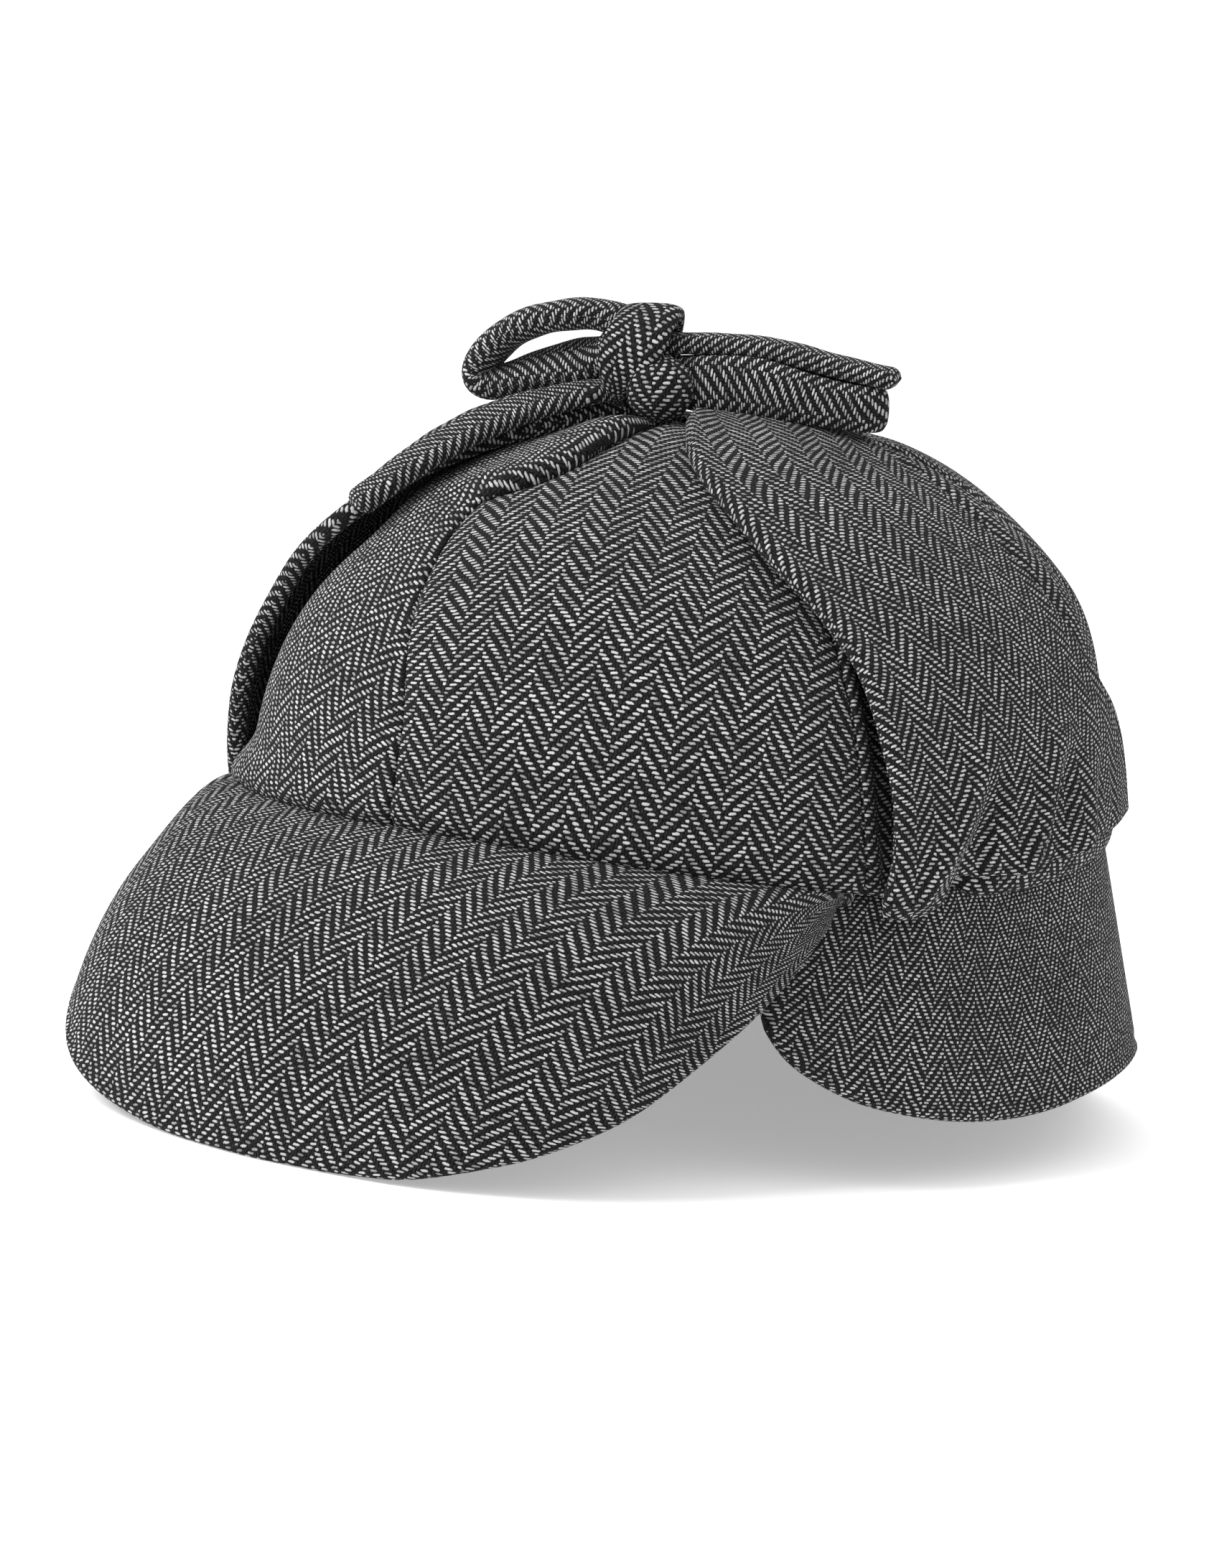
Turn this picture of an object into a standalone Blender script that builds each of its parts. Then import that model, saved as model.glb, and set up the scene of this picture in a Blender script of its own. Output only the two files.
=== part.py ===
# Deerstalker hat: six crown panels, two stiff visors, two ear flaps folded up
# over the sides, and their ties fastened in a bow on top.
# Metres, +Z up. The hat's front faces -Y and the wearer's left is +X. It
# stands on the lower edges of its two visors, on the plane z = 0.
#
# The pieces are drawn in the hat's own frame, whose origin is the middle of
# the head opening with the crown's axis upright. stand() then leans the hat
# forward onto its visors. Angles run round the rim from the front (0) over
# the wearer's left (90) to the back (180).

import math

import bpy
import numpy as np

# head opening and crown, outside sizes
RIM_HALF_LENGTH = 0.0997
RIM_HALF_WIDTH = 0.0911
RIM_FRONT_RISE = 0.0182
RIM_BACK_DROP = 0.0070
RIM_CURVE = 1.6
CROWN_HEIGHT = 0.0890
CROWN_TOP = 0.984
FRONT_FULLNESS = 2.0
BACK_FULLNESS = 2.7

# how the hat stands
STAND_LEAN = math.radians(9.0)
STAND_ROLL = math.radians(2.0)
FLOOR_DROP = 0.0553
FORWARD_SHIFT = 0.0165
SIDE_SHIFT = -0.0016

# cloth
CROWN_WALL = 0.0020
VISOR_WALL = 0.0030
FLAP_WALL = 0.0024
PIECE_GAP = 0.0003
SEAM_DIP = 0.0012
SEAM_WIDTH = 0.0045

# crown panels, named after their middle angle
PANELS = {
    "crown_front_left": 30,
    "crown_left": 90,
    "crown_back_left": 150,
    "crown_back_right": 210,
    "crown_right": 270,
    "crown_front_right": 330,
}
PANEL_HALF_DEGREES = 30
FRONT_SEAM_DRIFT = math.radians(-13)
FRONT_SEAM_DRIFT_START = 0.15
FRONT_SEAM_DRIFT_END = 0.60
PANEL_COLUMNS = (-1.0, -0.88, -0.66, -0.33, 0.0, 0.33, 0.66, 0.88, 1.0)
PANEL_ROWS = 11

# puffed fold of the front right panel beside the front seam, near the top
FOLD_HEIGHT = 0.0040
FOLD_ANGLE = math.radians(-14)
FOLD_SPREAD = math.radians(13)
FOLD_LEVEL = 0.74
FOLD_REACH = 0.12

# visors: rows give the angle round the rim and the length out from the seam;
# the front visor's also give its slope below the horizontal in degrees and
# how far it swings to the wearer's left
FRONT_BEND = math.radians(59)
BACK_LEAN = 0.105
BACK_FLARE = 0.15
BACK_SWING = 1.70
BACK_TUCK = 0.0036
BACK_TUCK_START = 108
BACK_TUCK_RUN = 8
BACK_MIDDLE_LIMIT = 90
BACK_MIDDLE_COLUMNS = 17
BACK_SIDE_START = 100
BACK_SIDE_COLUMNS = 6
VISOR_ROWS = 6
FRONT_VISOR_ROWS = (
    # angle, length, slope, swing
    (-58, 0.0081, 22.8, 0.048),
    (-56, 0.0270, 23.6, 0.043),
    (-52, 0.0449, 25.2, 0.033),
    (-46, 0.0582, 27.8, 0.016),
    (-37, 0.0680, 31.6, -0.010),
    (-26, 0.0749, 35.6, -0.040),
    (-14, 0.0785, 38.8, -0.065),
    (0, 0.0813, 40.6, -0.076),
    (14, 0.0828, 40.3, -0.062),
    (26, 0.0825, 39.0, -0.030),
    (37, 0.0767, 37.2, 0.013),
    (46, 0.0650, 35.7, 0.053),
    (52, 0.0460, 34.7, 0.080),
    (56, 0.0268, 34.1, 0.098),
    (58, 0.0079, 33.8, 0.107),
)
BACK_VISOR_ROWS = (
    # angle from the back, length
    (0, 0.0695),
    (24, 0.0645),
    (40, 0.0555),
    (52, 0.0490),
    (68, 0.0460),
    (85, 0.0455),
    (100, 0.0450),
    (112, 0.0435),
    (120, 0.0390),
    (125, 0.0320),
    (128, 0.0220),
)

# ear flaps: level up the crown, half angle of the left and right flap's
# front edge and of the rear edge, and how far each edge's outer face stands
# off the crown
FLAP_ROWS = (
    # level, left front, right front, rear, left lift, right lift, rear lift
    (-0.040, 29.0, 29.0, 28.5, 0.0054, 0.0046, 0.0033),
    (-0.010, 29.5, 29.5, 28.5, 0.0066, 0.0046, 0.0031),
    (0.050, 28.5, 30.0, 28.0, 0.0082, 0.0046, 0.0030),
    (0.120, 28.0, 31.0, 26.0, 0.0082, 0.0048, 0.0030),
    (0.200, 28.5, 32.0, 21.0, 0.0076, 0.0050, 0.0030),
    (0.300, 29.5, 34.0, 17.0, 0.0068, 0.0052, 0.0031),
    (0.400, 33.0, 38.0, 14.5, 0.0060, 0.0054, 0.0032),
    (0.500, 38.5, 44.0, 13.0, 0.0054, 0.0054, 0.0034),
    (0.600, 43.5, 45.0, 15.0, 0.0048, 0.0052, 0.0034),
    (0.660, 46.8, 45.8, 21.5, 0.0044, 0.0047, 0.0034),
    (0.700, 49.0, 46.0, 31.0, 0.0042, 0.0044, 0.0034),
    (0.790, 51.5, 46.0, 46.0, 0.0038, 0.0038, 0.0034),
    (0.870, 51.0, 42.0, 48.0, 0.0034, 0.0034, 0.0032),
    (0.930, 44.0, 36.0, 42.0, 0.0031, 0.0031, 0.0031),
)
FLAP_COLUMNS = 13
FLAP_MIDDLE = math.radians(90)
LIFT_REACH = 0.35
HEM_RISE = 0.065
HEM_START = 0.10
HEM_WIDTH = 0.30
HEM_FADE = 0.32
GATHER_HEIGHT = 0.0016
GATHER_COUNT = 4
GATHER_REACH = 0.26
GATHER_START = 0.05

# bow: lengths along the bow's line, across it, and up from the rim's level
BOW_TURN = math.radians(20)
LOOP_THICKNESS = 0.0048
TAIL_THICKNESS = 0.0030
LAID_THICKNESS = 0.0042
STRAP_CORNER = 0.72
KNOT_RINGS = 13
KNOT_SIDES = 18
KNOT_POLE = 0.12
AHEAD_TURN = 0.02
OFF_STEP = 0.001
KNOT_MIDDLE = (-0.0085, -0.0030, 0.1000)
KNOT_BALLS = (
    # along, across, up, and the radius each way
    ((-0.0100, 0.0000, 0.1028), (0.0098, 0.0088, 0.0090)),
    ((-0.0040, -0.0084, 0.0962), (0.0060, 0.0056, 0.0062)),
)
LOOP_RIGHT_ROWS = (
    # along, across, up, width, bank
    (-0.0186, 0.000, 0.1103, 0.011, 0),
    (-0.0255, 0.000, 0.1101, 0.014, 0),
    (-0.0327, 0.000, 0.1085, 0.015, 0),
    (-0.0381, 0.000, 0.1059, 0.015, 0),
    (-0.0424, 0.000, 0.1022, 0.0145, 0),
    (-0.0448, 0.000, 0.0987, 0.014, 0),
    (-0.0444, 0.000, 0.0961, 0.014, 0),
    (-0.0411, 0.000, 0.0953, 0.014, 0),
    (-0.0344, 0.000, 0.0981, 0.014, 0),
    (-0.0267, 0.000, 0.1010, 0.013, 0),
    (-0.0205, 0.000, 0.1028, 0.011, 0),
)
LOOP_LEFT_ROWS = (
    # along, across, up, width, bank
    (0.0022, -0.0034, 0.0974, 0.0085, 90),
    (0.0090, -0.0044, 0.0976, 0.0100, 90),
    (0.0175, -0.0048, 0.0972, 0.0104, 90),
    (0.0275, -0.0046, 0.0953, 0.0102, 90),
    (0.0355, -0.0038, 0.0938, 0.0096, 90),
    (0.0402, -0.0025, 0.0930, 0.0096, 90),
    (0.0422, 0.0000, 0.0928, 0.0096, 90),
    (0.0402, 0.0027, 0.0930, 0.0096, 90),
    (0.0355, 0.0042, 0.0938, 0.0096, 90),
    (0.0275, 0.0050, 0.0953, 0.0102, 90),
    (0.0175, 0.0050, 0.0970, 0.0104, 90),
    (0.0090, 0.0042, 0.0976, 0.0100, 90),
    (0.0022, 0.0032, 0.0978, 0.0085, 90),
)
TAIL_LEFT_ROWS = (
    # along, across, up, width, bank
    (0.0006, 0.001, 0.1050, 0.011, 0),
    (0.0090, 0.001, 0.1050, 0.011, 0),
    (0.0150, 0.001, 0.1048, 0.011, 0),
    (0.0223, 0.001, 0.1038, 0.011, 0),
    (0.0306, 0.001, 0.1020, 0.011, 0),
    (0.0388, 0.001, 0.1002, 0.011, 0),
    (0.0463, 0.001, 0.0990, 0.011, 0),
)
TAIL_RIGHT_ROWS = (
    # angle, level, lift of the middle above the crown, width, bank
    (-50, 0.870, 0.0071, 0.011, 6),
    (-50, 0.830, 0.0070, 0.013, 8),
    (-49, 0.780, 0.0070, 0.014, 10),
    (-46, 0.720, 0.0069, 0.014, 12),
    (-43, 0.660, 0.0068, 0.014, 14),
    (-41, 0.610, 0.0067, 0.014, 16),
    (-40, 0.560, 0.0067, 0.014, 16),
    (-40, 0.505, 0.0068, 0.014, 16),
)

CLOTH_GREY = (0.058, 0.058, 0.060, 1.0)
CLOTH_ROUGHNESS = 0.95


def clear_scene():
    for item in list(bpy.data.objects):
        bpy.data.objects.remove(item)


def smooth_table(rows, column, position):
    """Value of one column at a position in the first column, without overshoot."""
    table = np.array(rows, dtype=float)
    x, y = table[:, 0], table[:, column]
    step = np.diff(x)
    slope = np.diff(y) / step
    tangent = np.zeros_like(y)
    same_way = slope[:-1] * slope[1:] > 0
    mean = 2 * slope[:-1] * slope[1:] / np.where(same_way, slope[:-1] + slope[1:], 1)
    tangent[1:-1] = np.where(same_way, mean, 0)
    tangent[-1] = slope[-1]
    position = np.clip(position, x[0], x[-1])
    i = np.clip(np.searchsorted(x, position) - 1, 0, len(step) - 1)
    t = (position - x[i]) / step[i]
    return (
        y[i] * (1 + 2 * t) * (1 - t) ** 2
        + tangent[i] * step[i] * t * (1 - t) ** 2
        + y[i + 1] * t * t * (3 - 2 * t)
        + tangent[i + 1] * step[i] * t * t * (t - 1)
    )


def rim_point(angle):
    """Outer edge of the crown's lower seam."""
    forward = np.cos(angle)
    height = np.where(forward > 0, RIM_FRONT_RISE, -RIM_BACK_DROP) * np.abs(forward) ** RIM_CURVE
    return np.stack([RIM_HALF_WIDTH * np.sin(angle), -RIM_HALF_LENGTH * forward, height], -1)


def crown_point(angle, level, lift=0.0):
    """Crown surface: level 0 is the rim and 1 the top; lift stands off it."""
    rim = rim_point(angle)
    reach = np.hypot(rim[..., 0], rim[..., 1])
    wide = (reach + lift) / reach
    below = np.minimum(level, 0.0)
    turn = np.maximum(level, 0.0) * math.pi / 2
    fullness = FRONT_FULLNESS + (BACK_FULLNESS - FRONT_FULLNESS) * (1 - np.cos(angle)) / 2
    rise = np.sin(turn) ** (2 / fullness)
    height = rim[..., 2] + (CROWN_HEIGHT - rim[..., 2]) * (rise + below) + lift * np.sin(turn)
    return np.stack([rim[..., 0] * wide * np.cos(turn), rim[..., 1] * wide * np.cos(turn), height], -1)


def panel_lift(angle, level, edge_distance):
    """Dip of the cloth at the panel's seams, and the puffed fold beside one."""
    dip = -SEAM_DIP * np.exp(-((edge_distance / SEAM_WIDTH) ** 2))
    turned = (angle + math.pi) % (2 * math.pi) - math.pi
    fold = FOLD_HEIGHT * np.exp(-(((turned - FOLD_ANGLE) / FOLD_SPREAD) ** 2))
    fold = fold * np.exp(-(((level - FOLD_LEVEL) / FOLD_REACH) ** 2))
    return dip + np.where(turned < 0, fold, 0)


def stand(points):
    """From the hat's own frame to where it stands: rolled a little to the
    wearer's right, leaned forward, and flattened where it meets the surface."""
    roll_cos, roll_sin = math.cos(STAND_ROLL), math.sin(STAND_ROLL)
    lean_cos, lean_sin = math.cos(STAND_LEAN), math.sin(STAND_LEAN)
    x, y, z = points[..., 0], points[..., 1], points[..., 2]
    side = x * roll_cos - z * roll_sin + SIDE_SHIFT
    height = x * roll_sin + z * roll_cos
    forward = y * lean_cos - height * lean_sin + FORWARD_SHIFT
    up = y * lean_sin + height * lean_cos + FLOOR_DROP
    return np.stack([side, forward, np.maximum(up, 0.0)], -1)


def face_normals(grid):
    """Unit normals of a grid of points, rows by columns."""
    along = np.gradient(grid, axis=0)
    across = np.gradient(grid, axis=1)
    normal = np.cross(across, along)
    return normal / np.linalg.norm(normal, axis=-1, keepdims=True)


def cloth_material(name):
    material = bpy.data.materials.new(name)
    material.use_nodes = True
    shader = material.node_tree.nodes["Principled BSDF"]
    shader.inputs["Base Color"].default_value = CLOTH_GREY
    shader.inputs["Roughness"].default_value = CLOTH_ROUGHNESS
    shader.inputs["Metallic"].default_value = 0.0
    return material


def add_body(name, points, faces):
    mesh = bpy.data.meshes.new(name)
    mesh.from_pydata([tuple(p) for p in stand(points)], [], faces)
    mesh.materials.append(cloth_material(name + "_cloth"))
    mesh.validate()
    body = bpy.data.objects.new(name, mesh)
    bpy.context.collection.objects.link(body)
    return body


def build_wall(name, outer, inner):
    """Closed cloth wall between two grids of the same size."""
    rows, columns = outer.shape[:2]
    points = np.concatenate([outer.reshape(-1, 3), inner.reshape(-1, 3)])
    shift = rows * columns

    def at(row, column):
        return row * columns + column

    faces = []
    for row in range(rows - 1):
        for column in range(columns - 1):
            quad = [at(row, column), at(row, column + 1), at(row + 1, column + 1), at(row + 1, column)]
            faces.append(quad)
            faces.append([shift + corner for corner in reversed(quad)])
    border = [at(0, column) for column in range(columns)]
    border += [at(row, columns - 1) for row in range(1, rows)]
    border += [at(rows - 1, column) for column in reversed(range(columns - 1))]
    border += [at(row, 0) for row in reversed(range(1, rows - 1))]
    for here, there in zip(border, border[1:] + border[:1]):
        faces.append([there, here, shift + here, shift + there])
    return add_body(name, points, faces)


def build_tube(name, rings):
    """Closed body through rings of points, with flat ends."""
    count, sides = rings.shape[:2]
    faces = []
    for ring in range(count - 1):
        for side in range(sides):
            here = ring * sides + side
            beside = ring * sides + (side + 1) % sides
            faces.append([here, beside, beside + sides, here + sides])
    faces.append(list(reversed(range(sides))))
    faces.append([(count - 1) * sides + side for side in range(sides)])
    return add_body(name, rings.reshape(-1, 3), faces)


def seam_angle(degrees, level):
    """Where a crown seam lies; the front one wanders to the wearer's right."""
    if degrees % 360:
        return math.radians(degrees) + 0 * level
    share = (level - FRONT_SEAM_DRIFT_START) / (FRONT_SEAM_DRIFT_END - FRONT_SEAM_DRIFT_START)
    share = np.clip(share, 0, 1)
    return math.radians(degrees) + FRONT_SEAM_DRIFT * share * share * (3 - 2 * share)


def build_panel(name, middle_degrees):
    """One crown panel, from the rim seam to the top."""
    level = CROWN_TOP * np.linspace(0, 1, PANEL_ROWS)[:, None]
    share = np.array(PANEL_COLUMNS)[None, :]
    radius = RIM_HALF_WIDTH * np.cos(level * math.pi / 2)
    inset = PIECE_GAP / 2 / radius
    start = seam_angle(middle_degrees - PANEL_HALF_DEGREES, level) + inset
    end = seam_angle(middle_degrees + PANEL_HALF_DEGREES, level) - inset
    half = (end - start) / 2
    angle = (start + end) / 2 + share * half
    edge_distance = (1 - np.abs(share)) * half * radius
    level = level + 0 * share
    outer = crown_point(angle, level, panel_lift(angle, level, edge_distance))
    inner = outer - CROWN_WALL * face_normals(outer)
    inner[0, :, 2] = outer[0, :, 2]
    return build_wall(name, outer, inner)


def build_visor(name, angle, length, directions, tuck):
    """Visor sheet from the rim seam outward, one direction for each row of it."""
    outward = np.stack([np.sin(angle), -np.cos(angle), 0 * angle], -1)
    start = rim_point(angle) - tuck[:, None] * outward
    start[:, 2] -= PIECE_GAP
    step = length[:, None] / len(directions)
    rows = [start]
    for direction in directions:
        rows.append(rows[-1] + step * direction)
    outer = np.array(rows[::-1])
    inner = outer - VISOR_WALL * face_normals(outer)
    return build_wall(name, outer, inner)


def build_front_visor():
    rows = np.array([row[0] for row in FRONT_VISOR_ROWS], float)
    degrees = np.sort(np.concatenate([rows, (rows[1:] + rows[:-1]) / 2]))
    length = smooth_table(FRONT_VISOR_ROWS, 1, degrees)
    slope = np.radians(smooth_table(FRONT_VISOR_ROWS, 2, degrees))
    swing = smooth_table(FRONT_VISOR_ROWS, 3, degrees)
    directions = []
    for share in np.linspace(-0.5, 0.5, VISOR_ROWS):
        down = slope + share * FRONT_BEND
        direction = np.stack([swing, -np.cos(down), -np.sin(down)], -1)
        directions.append(direction / np.linalg.norm(direction, axis=-1, keepdims=True))
    return build_visor("front_visor", np.radians(degrees), length, directions, 0 * degrees)


def build_back_visor():
    limit = BACK_VISOR_ROWS[-1][0]
    middle = np.linspace(-BACK_MIDDLE_LIMIT, BACK_MIDDLE_LIMIT, BACK_MIDDLE_COLUMNS)
    side = np.linspace(BACK_SIDE_START, limit, BACK_SIDE_COLUMNS)
    degrees = np.concatenate([-side[::-1], middle, side])
    angle = math.pi - np.radians(degrees)
    angle = angle[::-1]
    degrees = np.abs(degrees[::-1])
    length = smooth_table(BACK_VISOR_ROWS, 1, degrees)
    forward = np.cos(angle)
    direction = np.stack([
        BACK_FLARE * np.sin(angle),
        np.where(forward > 0, -BACK_SWING * forward, -BACK_LEAN * forward),
        -1 + 0 * angle,
    ], -1)
    direction /= np.linalg.norm(direction, axis=-1, keepdims=True)
    tuck = BACK_TUCK * np.clip((degrees - BACK_TUCK_START) / BACK_TUCK_RUN, 0, 1)
    return build_visor("back_visor", angle, length, [direction] * VISOR_ROWS, tuck)


def build_flap(name, side):
    """Ear flap folded up from the rim; side is 1 on the wearer's left."""
    table = np.array(FLAP_ROWS)[:, :, None]
    levels = table[:, 0, 0]
    front = np.radians(table[:, 1 if side > 0 else 2])
    rear = np.radians(table[:, 3])
    front_lift = table[:, 4 if side > 0 else 5]
    rear_lift = table[:, 6]
    share = np.sin(np.linspace(-1, 1, FLAP_COLUMNS) * math.pi / 2)[None, :]
    ahead = np.clip(LIFT_REACH - share, 0, 1 + LIFT_REACH) / (1 + LIFT_REACH)
    lift = rear_lift + (front_lift - rear_lift) * ahead
    angle = side * (FLAP_MIDDLE + np.where(share < 0, share * front, share * rear))
    behind = np.clip((share + 1 - HEM_START) / HEM_WIDTH, 0, 1)
    hem = HEM_RISE * np.clip(1 - (levels[:, None] - levels[0]) / HEM_FADE, 0, 1)
    level = levels[:, None] + hem * behind * behind * (3 - 2 * behind)
    ease = np.clip(1 - level / GATHER_REACH, 0, 1) * np.clip(level / GATHER_START, 0, 1)
    ripple = GATHER_HEIGHT * ease * (1 + np.cos(share * GATHER_COUNT * math.pi)) / 2
    outer = crown_point(angle, level, lift + ripple)
    inner = crown_point(angle, level, lift + ripple - FLAP_WALL)
    if side < 0:
        outer, inner = outer[:, ::-1], inner[:, ::-1]
    return build_wall(name, outer, inner)


def bow_point(along, across, up):
    turn_cos, turn_sin = math.cos(BOW_TURN), math.sin(BOW_TURN)
    return np.array([along * turn_cos - across * turn_sin, along * turn_sin + across * turn_cos, up])


def strap_rings(middle, wide_way, width, thickness):
    """Rounded flat sections along a strap's middle line."""
    travel = np.gradient(middle, axis=0)
    travel /= np.linalg.norm(travel, axis=1, keepdims=True)
    wide = wide_way - travel * np.sum(travel * wide_way, axis=1, keepdims=True)
    wide /= np.linalg.norm(wide, axis=1, keepdims=True)
    thick = np.cross(travel, wide)
    section = (
        (1, 0), (STRAP_CORNER, 1), (-STRAP_CORNER, 1),
        (-1, 0), (-STRAP_CORNER, -1), (STRAP_CORNER, -1),
    )
    rings = [middle + wide * (u * width / 2)[:, None] + thick * (v * thickness / 2) for u, v in section]
    return np.stack(rings, axis=1)


def build_bow_strap(name, rows, thickness):
    """Loop or tail whose rows hold along, across, up, width and bank."""
    middle = np.array([bow_point(*row[:3]) for row in rows])
    width = np.array([row[3] for row in rows])
    bank = np.radians([row[4] for row in rows])
    across = bow_point(0.0, 1.0, 0.0)
    wide_way = np.cos(bank)[:, None] * across + np.sin(bank)[:, None] * np.array([0.0, 0.0, 1.0])
    return build_tube(name, strap_rings(middle, wide_way, width, thickness))


def build_laid_tail(name, rows):
    """Tail that lies over the crown, its rear edge raised by the bank."""
    angle = np.radians([row[0] for row in rows])
    level = np.array([row[1] for row in rows])
    lift = np.array([row[2] for row in rows])
    width = np.array([row[3] for row in rows])
    bank = np.radians([row[4] for row in rows])[:, None]
    middle = crown_point(angle, level, lift)
    ahead = crown_point(angle + AHEAD_TURN, level, lift) - middle
    ahead /= np.linalg.norm(ahead, axis=1, keepdims=True)
    off = crown_point(angle, level, lift + OFF_STEP) - middle
    off /= np.linalg.norm(off, axis=1, keepdims=True)
    wide_way = np.cos(bank) * ahead - np.sin(bank) * off
    return build_tube(name, strap_rings(middle, wide_way, width, LAID_THICKNESS))


def ball_reach(start, ways, centre, radii):
    """How far rays from a start inside the knot run to a ball's far side."""
    origin = (start - centre) / radii
    way = ways / radii
    a = np.sum(way * way, axis=-1)
    b = np.sum(way * origin, axis=-1)
    c = np.sum(origin * origin) - 1
    root = b * b - a * c
    return np.where(root > 0, (-b + np.sqrt(np.maximum(root, 0))) / a, 0)


def build_knot():
    """Knot of the bow: two rounded lumps of cloth grown into one."""
    start = np.array(KNOT_MIDDLE)
    pole = np.linspace(KNOT_POLE, math.pi - KNOT_POLE, KNOT_RINGS)[:, None]
    around = np.linspace(0, 2 * math.pi, KNOT_SIDES, endpoint=False)[None, :]
    ways = np.stack([np.cos(around) * np.sin(pole), np.sin(around) * np.sin(pole),
                     -np.cos(pole) + 0 * around], -1)
    reach = np.zeros((KNOT_RINGS, KNOT_SIDES))
    for centre, radii in KNOT_BALLS:
        reach = np.maximum(reach, ball_reach(start, ways, np.array(centre), np.array(radii)))
    spots = start + ways * reach[..., None]
    grid = bow_point(spots[..., 0], spots[..., 1], spots[..., 2])
    return build_tube("bow_knot", np.moveaxis(grid, 0, -1))


clear_scene()
for panel, degrees in PANELS.items():
    build_panel(panel, degrees)
build_front_visor()
build_back_visor()
build_flap("ear_flap_left", 1)
build_flap("ear_flap_right", -1)
build_knot()
build_bow_strap("bow_loop_left", LOOP_LEFT_ROWS, LOOP_THICKNESS)
build_bow_strap("bow_loop_right", LOOP_RIGHT_ROWS, LOOP_THICKNESS)
build_bow_strap("bow_tail_left", TAIL_LEFT_ROWS, TAIL_THICKNESS)
build_laid_tail("bow_tail_right", TAIL_RIGHT_ROWS)
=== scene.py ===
import math
import bpy
import numpy as np
from mathutils import Matrix


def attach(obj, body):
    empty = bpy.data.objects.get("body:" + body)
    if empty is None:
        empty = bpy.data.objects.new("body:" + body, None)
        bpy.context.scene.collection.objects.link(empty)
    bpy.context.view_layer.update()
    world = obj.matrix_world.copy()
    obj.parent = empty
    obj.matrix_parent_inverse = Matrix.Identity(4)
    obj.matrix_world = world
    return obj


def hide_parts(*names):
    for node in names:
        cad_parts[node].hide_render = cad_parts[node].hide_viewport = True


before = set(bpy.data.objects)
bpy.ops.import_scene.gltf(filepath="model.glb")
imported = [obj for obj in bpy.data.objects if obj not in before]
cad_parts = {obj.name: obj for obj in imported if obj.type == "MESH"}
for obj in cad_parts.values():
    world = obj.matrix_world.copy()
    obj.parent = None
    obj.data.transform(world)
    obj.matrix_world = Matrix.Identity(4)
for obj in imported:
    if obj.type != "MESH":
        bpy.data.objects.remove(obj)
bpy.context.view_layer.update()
print("frame loaded")

# the hat's own frame: origin in the middle of the head opening, front at -Y,
# wearer's left at +X; angles run round from the front over the left
hat = {
    "rimHalfLength": 0.0997,
    "rimHalfWidth": 0.0911,
    "frontRise": 0.0182,
    "backDrop": 0.0070,
    "height": 0.0890,
    "frontFullness": 2.0,
    "backFullness": 2.7,
    "risePower": 1.6,
    # the rim kicks up where the far end of the front visor is sewn on
    "kick": 0.0046,
    "kickAngle": math.radians(-52),
    "kickSpread": math.radians(24),
}
standing = {
    "lean": math.radians(9.0),
    "roll": math.radians(2.0),
    "up": 0.0553,
    "forward": 0.0165,
    "side": -0.0016,
}
weave = {
    # yarn spacing down and across the cloth in mm, and warp yarns to a column
    "pick": 0.89,
    "end": 0.735,
    "endsPerColumn": 8.0,
    # ends to a repeat, and how far into it the middle of a float lies
    "repeat": 4.0,
    "floatMiddle": 1.5,
}
uvName = "weaveMm"
mm = 1000
# rounds of the solver that lays a flap's cloth evenly
evenSteps = 900
# the least lengths that are divided by: a normal's, and a step's along the cloth
tiny = 1e-12
leastStep = 1e-6


# sRGB hex to linear colour
def linear(code):
    parts = [int(code[i:i + 2], 16) / 255 for i in (1, 3, 5)]
    return tuple(p / 12.92 if p < 0.04045 else ((p + 0.055) / 1.055) ** 2.4 for p in parts) + (1.0,)


def bell(x, centre, width):
    return np.exp(-((x - centre) / width) ** 2)


def smoothStep(x, start, end):
    t = np.clip((x - start) / (end - start), 0, 1)
    return t * t * (3 - 2 * t)


# rises over the first two of four places and falls over the last two
def hump(x, places):
    return smoothStep(x, *places[:2]) * (1 - smoothStep(x, *places[2:]))


def smoothTable(rows, column, position):
    table = np.array(rows, dtype=float)
    x, y = table[:, 0], table[:, column]
    step = np.diff(x)
    slope = np.diff(y) / step
    tangent = np.zeros_like(y)
    sameWay = slope[:-1] * slope[1:] > 0
    mean = 2 * slope[:-1] * slope[1:] / np.where(sameWay, slope[:-1] + slope[1:], 1)
    tangent[1:-1] = np.where(sameWay, mean, 0)
    tangent[-1] = slope[-1]
    position = np.clip(position, x[0], x[-1])
    i = np.clip(np.searchsorted(x, position) - 1, 0, len(step) - 1)
    t = (position - x[i]) / step[i]
    return (
        y[i] * (1 + 2 * t) * (1 - t) ** 2
        + tangent[i] * step[i] * t * (1 - t) ** 2
        + y[i + 1] * t * t * (3 - 2 * t)
        + tangent[i + 1] * step[i] * t * t * (t - 1)
    )


def wrapped(angle):
    return (angle + math.pi) % (2 * math.pi) - math.pi


def kickAt(angle):
    return hat["kick"] * bell(wrapped(angle), hat["kickAngle"], hat["kickSpread"])


def rimPoint(angle):
    ahead = np.cos(angle)
    rise = np.where(ahead > 0, hat["frontRise"], -hat["backDrop"]) * np.abs(ahead) ** hat["risePower"]
    rise = rise + kickAt(angle)
    return np.stack([hat["rimHalfWidth"] * np.sin(angle), -hat["rimHalfLength"] * ahead, rise], -1)


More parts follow.
